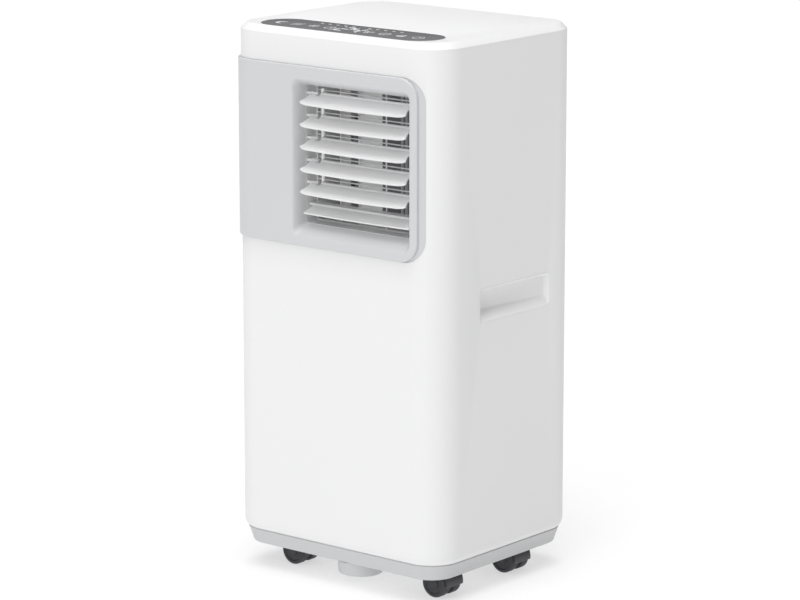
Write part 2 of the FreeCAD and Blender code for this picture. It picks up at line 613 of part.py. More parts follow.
def make_outlet_frame():
    """Grey wrap-round frame with the outlet's funnel and a snap lip behind the casing."""
    z0, z1 = FRAME_BOTTOM - 20, FRAME_TOP + 20
    raised = casing_ring(-FRAME_PROUD, WALL, z0, z1).common(
        frame_region(0, 0, FRAME_CORNER_R))
    flange = casing_ring(FLANGE_SUNK, WALL, z0, z1).common(flange_region(0))
    lip = casing_ring(WALL, WALL + 1.5, z0, z1).common(flange_region(FRAME_LIP))
    funnel = loft(outlet_wire(DUCT_WALL, FRAME_FACE + 1, 0), outlet_wire(DUCT_WALL, DUCT_Y0, 1))
    passage = loft(outlet_wire(0, FRAME_FACE, 0), outlet_wire(0, DUCT_Y0, 1))
    start = prism(outlet_wire(0, FRAME_FACE - 1, 0), V(0, 1, 0))
    return raised.fuse([flange, lip, funnel]).cut([passage, start])


def pivot(index):
    """Middle of blade number index's axis, counted from the top."""
    return V(BLADE_X, PIVOT_Y, PIVOT_Z - index * BLADE_PITCH)


def link_pin(index):
    """Centre of blade number index's link pin."""
    tilt = math.radians(BLADE_TILT)
    at = pivot(index)
    return V(LINK_X, at.y + LINK_ARM * math.cos(tilt), at.z + LINK_ARM * math.sin(tilt))


def blade_wire(z):
    """Plan of a blade: bowed front edge, rounded tips and hollowed ends; the axis is y = 0."""
    tip, root = BLADE_SPAN / 2, BLADE_SPAN / 2 - 3.5
    c = BLADE_CHORD
    right = [(root, 2.0), (root, -c * 0.25), (tip, -c * 0.74), (tip - 14, -c + 1.5)]
    bow = V(0, -c, z)

    def at(point, side):
        """Point of the outline on one side of the blade."""
        return V(side * point[0], point[1], z)

    def hollow(side):
        """Middle of the hollowed end."""
        return V(side * (root - 0.6), -c * 0.52, z)

    def shoulder(side):
        """Middle of the rounded tip."""
        return V(side * (tip - 4.5), -c + 2.6, z)

    edges = [Part.LineSegment(at(right[0], -1), at(right[0], 1)),
             Part.LineSegment(at(right[0], 1), at(right[1], 1)),
             Part.Arc(at(right[1], 1), hollow(1), at(right[2], 1)),
             Part.Arc(at(right[2], 1), shoulder(1), at(right[3], 1)),
             Part.Arc(at(right[3], 1), bow, at(right[3], -1)),
             Part.Arc(at(right[3], -1), shoulder(-1), at(right[2], -1)),
             Part.Arc(at(right[2], -1), hollow(-1), at(right[1], -1)),
             Part.LineSegment(at(right[1], -1), at(right[0], -1))]
    return Part.Wire([e.toShape() for e in edges])


def make_louvre_blade(index):
    """Blade with its barrel, end pins and the small arm for the link bar."""
    half_duct = (DUCT_X1 - DUCT_X0) / 2
    root = BLADE_SPAN / 2 - 3.5
    plate = prism(blade_wire(-BLADE_THICK / 2), V(0, 0, BLADE_THICK))
    barrel = rod(BARREL_R, V(-root, 0, 0), V(root, 0, 0))
    pins = rod(PIVOT_R, V(-half_duct - DUCT_WALL, 0, 0), V(half_duct + DUCT_WALL, 0, 0))
    link = LINK_X - BLADE_X
    notch = box(link - LINK_SIZE / 2 - 0.9, link + LINK_SIZE / 2 + 0.9, -5.5, 5, -5, 5)
    bridge = rod(1.2, V(link - 4, -6.4, 0), V(link + 4, -6.4, 0))
    arm = box(link + LINK_SIZE / 2 + 0.6, link + LINK_SIZE / 2 + 2.6, -1, LINK_ARM + 1.8, -1.8, 1.8)
    pin = rod(LINK_PIN_R, V(link - LINK_SIZE / 2 - 1, LINK_ARM, 0), V(link + LINK_SIZE / 2 + 1, LINK_ARM, 0))
    blade = joined(plate, barrel, pins).cut(notch)
    blade = joined(blade, bridge, arm, pin)
    blade.rotate(V(0, 0, 0), V(1, 0, 0), BLADE_TILT)
    blade.translate(pivot(index))
    return blade


def make_louvre_link():
    """Bar that ties the blades together, with a hole for each link pin."""
    top, bottom = link_pin(0), link_pin(BLADE_COUNT - 1)
    half = LINK_SIZE / 2
    bar = box(LINK_X - half, LINK_X + half, top.y - 1.9, top.y + 1.9, bottom.z - 3.5, top.z + 3.5)
    holes = [rod(LINK_PIN_R + RUNNING, link_pin(i) - V(5, 0, 0), link_pin(i) + V(5, 0, 0))
             for i in range(BLADE_COUNT)]
    return bar.cut(holes)


def make_outlet_lip():
    """Fixed lip under the last blade, from wall to wall of the outlet."""
    last = pivot(BLADE_COUNT - 1)
    tilt = math.radians(BLADE_TILT)
    z = last.z - BLADE_CHORD * math.sin(tilt) - LIP_DROP
    y = FRAME_FACE + 8.0
    lip = prism(outline(DUCT_X0 + 4, DUCT_X1 - 4, 0, LIP_DEPTH, (2, 0, 0, 2), level(0)), V(0, 0, 2.0))
    lip.rotate(V(0, 0, 0), V(1, 0, 0), LIP_TILT)
    lip.translate(V(0, y, z))
    end_y = DUCT_Y0 + 6
    end_z = z + (end_y - y) * math.tan(math.radians(LIP_TILT))
    feet = box(DUCT_X0, DUCT_X1, end_y, end_y + 8, end_z + 1, end_z + 4)
    return joined(lip, feet)


def make_outlet_duct():
    """Box duct from the funnel to the cold fan, with bearings for the blades."""
    y0, y1 = DUCT_Y0, DUCT_Y1
    t = DUCT_WALL
    outer = box(DUCT_X0 - t, DUCT_X1 + t, y0, y1, DUCT_Z0 - t, DUCT_Z1 + t)
    inner = box(DUCT_X0, DUCT_X1, y0 - 1, y1 + 1, DUCT_Z0, DUCT_Z1)
    bearings = [rod(PIVOT_R + RUNNING, V(DUCT_X0 - t - 1, pivot(i).y, pivot(i).z),
                    V(DUCT_X1 + t + 1, pivot(i).y, pivot(i).z)) for i in range(BLADE_COUNT)]
    return outer.cut([inner] + bearings)


def make_guard_grille():
    """Guard behind the blades: thin level wires and one upright rib in a frame."""
    y = DUCT_Y0 + GUARD_SETBACK
    w = GUARD_WIRE
    frame = box(DUCT_X0, DUCT_X1, y, y + w, DUCT_Z0, DUCT_Z1).cut(
        box(DUCT_X0 + 2, DUCT_X1 - 2, y - 1, y + w + 1, DUCT_Z0 + 2, DUCT_Z1 - 2))
    wires = [rod(w / 2, V(DUCT_X0 + 1, y + w / 2, pivot(i).z + 2), V(DUCT_X1 - 1, y + w / 2, pivot(i).z + 2))
             for i in range(BLADE_COUNT)]
    rib_x = DUCT_X1 - 59.0
    rib = box(rib_x - w / 2, rib_x + w / 2, y - 0.4, y + w, DUCT_Z0 + 1, DUCT_Z1 - 1)
    return joined(frame, rib, *wires)


def make_louvre_motor():
    """Small swing motor beside the duct, on the middle blade's axis."""
    wall = V(DUCT_X0 - DUCT_WALL, PIVOT_Y, pivot(BLADE_COUNT // 2).z)
    at = wall - V(5, 0, 0)
    can = rod(12, at - V(18, 0, 0), at).fuse(rod(3.4, at, wall))
    ears = box(at.x - 1.5, at.x, at.y - 3.5, at.y + 3.5, at.z - 18, at.z + 18)
    return joined(can, ears)


# --- fans, coils and compressor -----------------------------------------
def volute(r0, exit_low, exit_far, grow, width):
    """Snail-shell block in its own frame: quarter arcs of growing radius, then a straight exit.

    The axis is z; the air turns from +x to +y and leaves along +y, between
    x = exit_low and the outer wall, at y = exit_far. grow thickens it all round.
    """
    s = VOLUTE_GROWTH
    centres = [V(0, 0, 0), V(0, -s, 0), V(s, -s, 0), V(s, 0, 0)]
    edges, point = [], V(r0 + grow, 0, 0)
    first = point
    for quarter, centre in enumerate(centres):
        radius = r0 + quarter * s + grow
        turn = math.pi / 2 * quarter

        def on_arc(angle):
            """Point of this quarter's arc."""
            return centre + V(radius * math.cos(angle), radius * math.sin(angle), 0)

        edges.append(Part.Arc(on_arc(turn), on_arc(turn + math.pi / 4), on_arc(turn + math.pi / 2)).toShape())
        point = edges[-1].Vertexes[-1].Point
    edges.append(Part.LineSegment(point, first).toShape())
    snail = Part.Face(Part.Wire(edges))
    throat = Part.makePlane(point.x - exit_low + grow, exit_far, V(exit_low - grow, 0, 0))
    return snail.fuse(throat).removeSplitter().extrude(V(0, 0, width))


def squirrel_cage(radius, length):
    """Fan wheel in its own frame: backplate, end ring, blades and hub; the axis is z."""
    plate = ring(radius, MOTOR_SHAFT_R, V(0, 0, 0), V(0, 0, 2))
    hub = ring(10, MOTOR_SHAFT_R, V(0, 0, 0), V(0, 0, 16))
    end = ring(radius, radius - 4, V(0, 0, length - 3), V(0, 0, length))
    blade = box(radius - 13, radius - 1, -0.8, 0.8, 0, length)
    blade.rotate(V(radius - 7, 0, 0), V(0, 0, 1), 35)
    blades = []
    for i in range(FAN_BLADES):
        copy = blade.copy()
        copy.rotate(V(0, 0, 0), V(0, 0, 1), 360.0 * i / FAN_BLADES)
        blades.append(copy)
    return plate.fuse([hub, end] + blades)


def fan_motor(radius, length, shaft):
    """Motor in its own frame, behind z = 0, with its shaft along z."""
    can = rod(radius, V(0, 0, -length), V(0, 0, 0))
    boss = rod(radius * 0.45, V(0, 0, 0), V(0, 0, 1.5))
    return joined(can, boss, rod(MOTOR_SHAFT_R - RUNNING, V(0, 0, -length), V(0, 0, shaft)))


def turned(shape, x_to, y_to, at):
    """Shape moved so that its own x and y point along x_to and y_to, and its origin is at."""
    z_to = x_to.cross(y_to)
    matrix = FreeCAD.Matrix(x_to.x, y_to.x, z_to.x, at.x, x_to.y, y_to.y, z_to.y, at.y,
                            x_to.z, y_to.z, z_to.z, at.z, 0, 0, 0, 1)
    moved = shape.copy()
    moved.Placement = FreeCAD.Placement(matrix)
    return moved


def cold_scroll_width():
    """Inside width of the cold fan's scroll."""
    return DUCT_X1 - DUCT_X0


def make_evaporator_scroll():
    """Scroll of the cold fan: draws in at both ends and blows to the front."""
    width = cold_scroll_width()
    low = DUCT_Z0 - COLD_Z
    reach = COLD_Y - DUCT_Y1
    t = SCROLL_WALL
    outer = volute(COLD_R0, low, reach, t, width + 2 * t)
    inner = volute(COLD_R0, low, reach + 1, 0, width)
    inner.translate(V(0, 0, t))
    inlet = rod(COLD_WHEEL_R - 10, V(0, 0, -1), V(0, 0, width + 2 * t + 1))
    shell = outer.cut([inner, inlet])
    return turned(shell, V(0, 0, 1), V(0, -1, 0), V(DUCT_X0 - t, COLD_Y, COLD_Z))


def cold_wheel_start():
    """Left end of the cold fan's wheel."""
    return COLD_X - COLD_WHEEL_LENGTH / 2


def make_evaporator_wheel():
    """Cold fan's wheel on a level axis from side to side."""
    wheel = squirrel_cage(COLD_WHEEL_R, COLD_WHEEL_LENGTH)
    return turned(wheel, V(0, 0, 1), V(0, -1, 0), V(cold_wheel_start(), COLD_Y, COLD_Z))


def make_evaporator_motor():
    """Cold fan's motor, at the left of the scroll, with a bracket to the deck."""
    face = DUCT_X0 - SCROLL_WALL - 14.0
    motor = fan_motor(34, 46, cold_wheel_start() + 14 - face)
    motor = turned(motor, V(0, 0, 1), V(0, -1, 0), V(face, COLD_Y, COLD_Z))
    post = box(face - 36, face - 10, COLD_Y - 20, COLD_Y + 20, DECK_Z, COLD_Z)
    return joined(motor, post)


def make_condenser_scroll():
    """Scroll of the hot fan: draws in from the back and blows up into the plenum."""
    t = SCROLL_WALL
    width = HOT_Y1 - HOT_Y0
    reach = plenum_floor() - HOT_CENTRE_Z
    outer = volute(HOT_R0, 10, reach, t, width + 2 * t)
    inner = volute(HOT_R0, 10, reach + 1, 0, width)
    inner.translate(V(0, 0, t))
    inlet = rod(HOT_WHEEL_R - 10, V(0, 0, -1), V(0, 0, t + 1))
    shaft = rod(MOTOR_SHAFT_R + 8, V(0, 0, t), V(0, 0, width + 2 * t + 1))
    shell = outer.cut([inner, inlet, shaft])
    return turned(shell, V(1, 0, 0), V(0, 0, 1), V(HOT_CENTRE_X, HOT_Y1 + t, HOT_CENTRE_Z))


def make_condenser_wheel():
    """Hot fan's wheel on an axis from front to back."""
    wheel = squirrel_cage(HOT_WHEEL_R, HOT_WHEEL_LENGTH)
    return turned(wheel, V(-1, 0, 0), V(0, 0, 1), V(HOT_CENTRE_X, HOT_Y0 + 3, HOT_CENTRE_Z))


def make_condenser_motor():
    """Hot fan's motor in front of its scroll."""
    motor = fan_motor(30, 30, 18)
    return turned(motor, V(-1, 0, 0), V(0, 0, 1), V(HOT_CENTRE_X, HOT_Y0 - SCROLL_WALL - 2, HOT_CENTRE_Z))


def plenum_floor():
    """Underside of the plenum in front of the hose socket."""
    return HOSE_Z - HOSE_BORE_R - 6.0


def make_hose_plenum():
    """Box that takes the hot air from the scroll to the hose socket."""
    t = SCROLL_WALL
    r = HOSE_BORE_R
    x0, x1 = HOSE_X - r - 2, HOSE_X + r + 2
    y0, y1 = BACK - PLENUM_FRONT, INNER_BACK - 14
    z0, z1 = plenum_floor(), HOSE_Z + r + 2
    shell = box(x0 - t, x1 + t, y0 - t, y1, z0, z1 + t).cut(box(x0, x1, y0, y1 - t, z0 + t, z1))
    mouth = rod(r - HOSE_STOP, V(HOSE_X, y1 - t - 1, HOSE_Z), V(HOSE_X, y1 + 1, HOSE_Z))
    throat_end = HOT_CENTRE_X + HOT_R0 + 4 * VOLUTE_GROWTH
    inflow = box(HOT_CENTRE_X + 10, throat_end, HOT_Y0, HOT_Y1, z0 - 1, z0 + t + 1)
    return shell.cut([mouth, inflow])


def coil_rows(height):
    """Even number of tube rows in a coil, so that both free ends are on its right."""
    return 2 * int(height / 50)


def coil(width, z0, height, y0):
    """Fin block with return bends at both ends."""
    half = width / 2
    block = box(-half, half, y0, y0 + COIL_DEPTH, z0, z0 + height)
    rows = coil_rows(height)
    pitch = height / rows
    parts = []
    y = y0 + COIL_DEPTH / 2
    for row in range(rows):
        z = z0 + (row + 0.5) * pitch
        for side in (-1, 1):
            parts.append(rod(COIL_TUBE_R, V(side * half, y, z), V(side * (half + 5), y, z)))
        if row + 1 < rows:
            side = 1 if row % 2 else -1
            bend = Part.makeTorus(pitch / 2, COIL_TUBE_R, V(side * (half + 5), y, z + pitch / 2), V(0, 1, 0))
            keep = box(half + 5, half + 40, y - 9, y + 9, z - 9, z + pitch + 9)
            parts.append(bend.common(keep if side > 0 else mirrored_x(keep)))
    return joined(block, *parts)


def coil_width():
    """Width of the fin blocks between the casing's walls and the return bends."""
    return BODY_WIDTH - 2 * CORNER_R - 26.0


def make_evaporator_coil():
    """Cold coil behind the upper filter."""
    return coil(coil_width(), *cold_coil_span(), INNER_BACK - 8 - COIL_DEPTH)


def make_condenser_coil():
    """Hot coil behind the lower filter."""
    return coil(coil_width(), *hot_coil_span(), INNER_BACK - 8 - COIL_DEPTH)


def make_divider_deck():
    """Drip pan between the cold and hot compartments, with a rim under the cold coil."""
    low = DECK_Z - DECK_THICK
    inset = WALL + 1.5 + FIT
    plate = casing(inset, low, DECK_Z)
    back = INNER_BACK - WALL - FIT
    plate = plate.common(box(LEFT, RIGHT, FRONT, back, low, DECK_Z))
    rim_y0 = INNER_BACK - 8 - COIL_DEPTH - 5
    rims = [box(-coil_width() / 2, coil_width() / 2, rim_y0 - 2, rim_y0, DECK_Z, DECK_Z + 10)]
    supports = [box(x - 4, x + 4, rim_y0 + 4, rim_y0 + COIL_DEPTH, DECK_Z, DECK_Z + 8) for x in (-90, 0, 90)]
    return joined(plate, *rims, *supports)


def compressor_foot_places():
    """Centres of the compressor's feet."""
    turns = [math.radians(angle) for angle in (90, 210, 330)]
    return [COMPRESSOR + V(FOOT_CIRCLE_R * math.cos(a), FOOT_CIRCLE_R * math.sin(a), 0) for a in turns]


def make_compressor():
    """Welded rotary compressor: domed can on a three-armed foot plate."""
    r, h = COMPRESSOR_R, COMPRESSOR_HEIGHT
    base = COMPRESSOR + V(0, 0, 3)
    dome = 16.0
    profile = [Part.LineSegment(V(0, 0, 0), V(r - 8, 0, 0)),
               Part.Arc(V(r - 8, 0, 0), V(r - 2.4, 0, 2.4), V(r, 0, 8)),
               Part.LineSegment(V(r, 0, 8), V(r, 0, h - dome)),
               Part.Arc(V(r, 0, h - dome), V(r * 0.74, 0, h - 4.6), V(0, 0, h)),
               Part.LineSegment(V(0, 0, h), V(0, 0, 0))]
    can = Part.Face(Part.Wire([e.toShape() for e in profile])).revolve(V(0, 0, 0), V(0, 0, 1), 360)
    can.translate(base)
    arms = [box(-11, 11, 0, FOOT_CIRCLE_R + 9, 0, 3) for _ in range(3)]
    for arm, angle in zip(arms, (0, 120, 240)):
        arm.rotate(V(0, 0, 0), V(0, 0, 1), angle)
        arm.translate(COMPRESSOR)
    holes = [rod(4, p - V(0, 0, 1), p + V(0, 0, 4)) for p in compressor_foot_places()]
    terminal = rod(14, base + V(12, 0, h - dome), base + V(12, 0, h + 6))
    return joined(can, terminal, *arms).cut(holes)


def make_compressor_feet():
    """Rubber bushes between the tray's posts and the compressor's foot plate."""
    bushes = []
    for p in compressor_foot_places():
        low = V(p.x, p.y, COMPRESSOR_FEET_Z - 10)
        bushes.append(joined(rod(9, low, p), rod(4 - RUNNING, p, p + V(0, 0, 4)),
                             rod(6, p + V(0, 0, 3), p + V(0, 0, 6))))
    return bushes


def accumulator_axis():
    """Foot of the suction accumulator's axis."""
    return COMPRESSOR + V(COMPRESSOR_R + 20, -6, 62)


def make_accumulator():
    """Suction accumulator beside the compressor, with its strap."""
    foot = accumulator_axis()
    can = rod(15, foot, foot + V(0, 0, ACCUMULATOR_HEIGHT))
    rims = [e for e in can.Edges if e.Curve.TypeId == "Part::GeomCircle"]
    can = can.makeFillet(6, rims)
    strap = box(COMPRESSOR.x + COMPRESSOR_R, foot.x, foot.y - 2, foot.y + 2, foot.z + 40, foot.z + 52)
    return joined(can, strap).cut(rod(COMPRESSOR_R, COMPRESSOR, COMPRESSOR + V(0, 0, 300)))


def pipe(points, radius, bend):
    """Pipe of straight runs joined by tangent arcs."""
    edges, start = [], points[0]
    for before, corner, after in zip(points, points[1:], points[2:]):
        into, out = (corner - before).normalize(), (after - corner).normalize()
        turn = into.getAngle(out)
        back = bend * math.tan(turn / 2)
        p, q = corner - into * back, corner + out * back
        inward = (out - into).normalize()
        middle = corner + inward * (bend / math.cos(turn / 2) - bend)
        edges += [Part.LineSegment(start, p).toShape(), Part.Arc(p, middle, q).toShape()]
        start = q
    edges.append(Part.LineSegment(start, points[-1]).toShape())
    path = Part.Wire(edges)
    circle = Part.Wire(Part.Circle(points[0], points[1] - points[0], radius).toShape())
    return path.makePipeShell([circle], True, False)


def coil_end(z0, height, row):
    """Free tube end of a coil, at its right, in a row counted from below."""
    pitch = height / coil_rows(height)
    return V(coil_width() / 2 + 5, INNER_BACK - 8 - COIL_DEPTH / 2, z0 + (row + 0.5) * pitch)


def cold_coil_span():
    """Foot and height of the cold coil."""
    z0 = DECK_Z + 8
    return z0, BODY_HEIGHT - UPPER_FILTER_TOP_DROP - z0


def hot_coil_span():
    """Foot and height of the hot coil."""
    z0 = SHELL_BOTTOM + TRAY_SKIRT + 4
    return z0, LOWER_FILTER_BOTTOM + LOWER_FILTER_HEIGHT - z0


def liquid_corner():
    """Where the liquid line rises, to the right of the coils."""
    end = coil_end(*hot_coil_span(), 0)
    return V(end.x + LIQUID_OUT, end.y - 30, end.z)


def suction_corner():
    """Where the suction pipe rises, to the right of the coils."""
    end = coil_end(*cold_coil_span(), 0)
    return V(end.x + SUCTION_OUT, end.y, end.z)


def make_refrigerant_pipes():
    """Copper pipes: compressor to condenser, accumulator to evaporator, and the liquid line."""
    top = COMPRESSOR.z + COMPRESSOR_HEIGHT
    hot_foot, hot_high = hot_coil_span()
    cold_foot, cold_high = cold_coil_span()
    hot_in = coil_end(hot_foot, hot_high, coil_rows(hot_high) - 1)
    x = COMPRESSOR.x - 22
    run_x, run_z = hot_in.x + DISCHARGE_OUT, top + 25
    discharge = pipe([V(x, COMPRESSOR.y, top - 2), V(x, COMPRESSOR.y, run_z), V(run_x, COMPRESSOR.y, run_z),
                      V(run_x, hot_in.y, run_z), V(run_x, hot_in.y, hot_in.z), hot_in], 3.5, 7)
    foot = accumulator_axis() + V(0, 0, ACCUMULATOR_HEIGHT)
    rise, cold_out = suction_corner(), coil_end(cold_foot, cold_high, 0)
    suction = pipe([foot, foot + V(0, 0, 20), V(rise.x, foot.y, foot.z + 20), V(rise.x, rise.y, foot.z + 20),
                    rise, cold_out], 4.5, 9)
    hot_out, corner = coil_end(hot_foot, hot_high, 0), liquid_corner()
    cold_in = coil_end(cold_foot, cold_high, coil_rows(cold_high) - 1)
    liquid = pipe([hot_out, V(corner.x, hot_out.y, corner.z), corner, V(corner.x, corner.y, cold_in.z),
                   V(corner.x, cold_in.y, cold_in.z), cold_in], 2.0, 6)
    return [discharge, suction, liquid]


def pipe_holes():
    """Room for the pipes where they pass through the deck."""
    low, high = DECK_Z - DECK_THICK - 1, DECK_Z + 1
    risers = ((suction_corner(), 6.5), (liquid_corner(), 4))
    return [rod(r, V(p.x, p.y, low), V(p.x, p.y, high)) for p, r in risers]


def make_control_box():
    """Flame-proof box for the electronics, hung under the front of the deck."""
    x0, x1 = RIGHT - 116, RIGHT - 20
    y0, y1 = FRONT + 14, FRONT + 62
    z1 = DECK_Z - DECK_THICK
    z0 = z1 - 120
    return box(x0, x1, y0, y1, z0, z1).cut(box(x0 + 2, x1 - 2, y0 + 2, y1 - 2, z0 + 2, z1 - 2))


def make_main_board():
    """Control board with relay, transformer and terminal block."""
    x0, x1 = RIGHT - 112, RIGHT - 24
    y = FRONT + 20
    z0 = DECK_Z - DECK_THICK - 116
    board = box(x0, x1, y, y + 1.6, z0, z0 + 108)
    standoffs = [rod(3, V(x, FRONT + 16, z), V(x, y, z))
                 for x in (x0 + 8, x1 - 8) for z in (z0 + 8, z0 + 100)]
    blocks = [box(x0 + 6, x0 + 28, y + 1.6, y + 17, z0 + 12, z0 + 40),
              box(x0 + 40, x0 + 68, y + 1.6, y + 21, z0 + 12, z0 + 36),
              box(x0 + 8, x1 - 12, y + 1.6, y + 12, z0 + 84, z0 + 98)]
    return joined(board, *standoffs, *blocks)


def make_run_capacitor():
    """Run capacitor beside the board."""
    foot = V(RIGHT - 60, FRONT + 50, DECK_Z - DECK_THICK - 118)
    return joined(rod(9, foot, foot + V(0, 0, 48)), rod(2, foot, foot + V(0, 0, 56)))


# --- write the parts ----------------------------------------------------
def export(name, shape):
    """Write one named piece, moved so that the whole object is centred over the floor."""
    shapes = shape if isinstance(shape, list) else [shape]
    whole = shapes[0] if len(shapes) == 1 else Part.makeCompound(shapes)
    solids = whole.Solids
    whole = solids[0] if len(solids) == 1 else Part.makeCompound(solids)
    whole = whole.copy()
    whole.translate(CENTRE_SHIFT)
    ok = all(s.isValid() for s in solids)
    bounds = whole.BoundBox
    print("%-26s solids %2d valid %s volume %9.1f  z %.1f..%.1f" %
          (name, len(solids), ok, whole.Volume, bounds.ZMin, bounds.ZMax))
    whole.exportStep("parts/" + name + ".step")


def main():
    """Build and write every piece."""
    os.makedirs("parts", exist_ok=True)
    export("base_tray", make_base_tray())
    export("water_float", make_float())
    export("drain_plug", make_drain_plug())
    export("castor_stems", make_castor_stems())
    for place, (x, y) in CASTOR_PLACES.items():
        export("castor_hood_" + place, make_castor_hood(x, y))
        export("castor_wheel_" + place + "_a", make_castor_wheel(x, y, -1))
        export("castor_wheel_" + place + "_b", make_castor_wheel(x, y, 1))
    export("front_shell", make_front_shell())
    export("rear_panel", make_rear_panel())
    export("top_cover", make_top_cover())
    export("control_panel", make_control_panel())
    export("display_board", make_display_board())
    right_pocket = make_hand_pocket()
    export("hand_pocket_right", right_pocket)
    export("hand_pocket_left", mirrored_x(right_pocket))
    for name, (z, height) in filter_places().items():
        export(name + "_filter_frame", make_filter_frame(z, height))
        export(name + "_filter_mesh", make_filter_mesh(z, height))
    export("hose_socket", make_hose_socket())
    export("cord_gland", make_cord_gland())
    export("rear_screws", make_rear_screws())
    export("outlet_frame", make_outlet_frame())
    for index in range(BLADE_COUNT):
        export("louvre_blade_%d" % (index + 1), make_louvre_blade(index))
    export("louvre_link", make_louvre_link())
    export("outlet_lip", make_outlet_lip())
    export("outlet_duct", make_outlet_duct())
    export("guard_grille", make_guard_grille())
    export("louvre_motor", make_louvre_motor())
    export("evaporator_scroll", make_evaporator_scroll())
    export("evaporator_wheel", make_evaporator_wheel())
    export("evaporator_motor", make_evaporator_motor())
    export("evaporator_coil", make_evaporator_coil())
    export("condenser_scroll", make_condenser_scroll())
    export("condenser_wheel", make_condenser_wheel())
    export("condenser_motor", make_condenser_motor())
    export("condenser_coil", make_condenser_coil())
    export("hose_plenum", make_hose_plenum())
    export("divider_deck", make_divider_deck().cut(pipe_holes()))
    export("compressor", make_compressor())
    export("compressor_feet", make_compressor_feet())
    export("accumulator", make_accumulator())
    export("refrigerant_pipes", make_refrigerant_pipes())
    export("control_box", make_control_box())
    export("main_board", make_main_board())
    export("run_capacitor", make_run_capacitor())


main()
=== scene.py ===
"""Looks of a portable air conditioner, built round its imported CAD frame.

Lengths are in metres, +Z is up and +Y points to the back of the machine. Places come from the
frame's own boxes, so each new piece sits exactly where its CAD node does.
"""
import json
import logging
import math
from dataclasses import dataclass, field
from enum import Enum
from typing import Callable, Iterable, Sequence

import bmesh
import bpy
import numpy as np
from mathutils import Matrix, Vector
from mathutils.geometry import delaunay_2d_cdt


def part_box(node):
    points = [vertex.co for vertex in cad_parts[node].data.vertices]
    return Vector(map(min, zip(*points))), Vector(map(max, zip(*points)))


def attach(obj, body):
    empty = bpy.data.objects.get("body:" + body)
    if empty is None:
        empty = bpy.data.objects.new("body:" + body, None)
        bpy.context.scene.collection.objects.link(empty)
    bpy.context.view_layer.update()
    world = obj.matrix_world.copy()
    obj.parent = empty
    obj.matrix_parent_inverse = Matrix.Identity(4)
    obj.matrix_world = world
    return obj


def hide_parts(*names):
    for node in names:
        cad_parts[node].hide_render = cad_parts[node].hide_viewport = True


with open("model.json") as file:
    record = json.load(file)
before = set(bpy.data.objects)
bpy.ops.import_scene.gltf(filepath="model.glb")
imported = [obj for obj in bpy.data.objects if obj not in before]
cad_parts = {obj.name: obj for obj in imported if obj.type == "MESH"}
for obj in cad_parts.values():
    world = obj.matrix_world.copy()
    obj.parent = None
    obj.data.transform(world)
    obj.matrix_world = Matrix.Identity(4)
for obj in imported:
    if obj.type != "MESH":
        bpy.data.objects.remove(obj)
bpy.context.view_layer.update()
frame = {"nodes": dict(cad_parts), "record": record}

Array = np.ndarray
Place = Callable[[Array, float], Array]
log = logging.getLogger("air_conditioner")

MM = 0.001
TAU = 2 * math.pi
MERGE = 4e-6            # corners of neighbouring patches nearer than this are one corner
ARC_STEPS = 10          # stretches in a quarter turn of a small corner


class Body(str, Enum):
    """CAD bodies that several pieces ride on."""

    CABINET = "cabinet"
    LINK = "louvre_bar"


# --- surfaces ---------------------------------------------------------------
def points(x: Array | float, y: Array | float, z: Array | float) -> Array:
    """Points (..., 3) from coordinates that are each an array or one number."""
    return np.stack(np.broadcast_arrays(x, y, z), -1)


def arc(u: float, v: float, radius: float, angle: Array) -> Array:
    """Corners (n, 2) at some angles on a circle."""
    return np.stack([u + radius * np.cos(angle), v + radius * np.sin(angle)], -1)


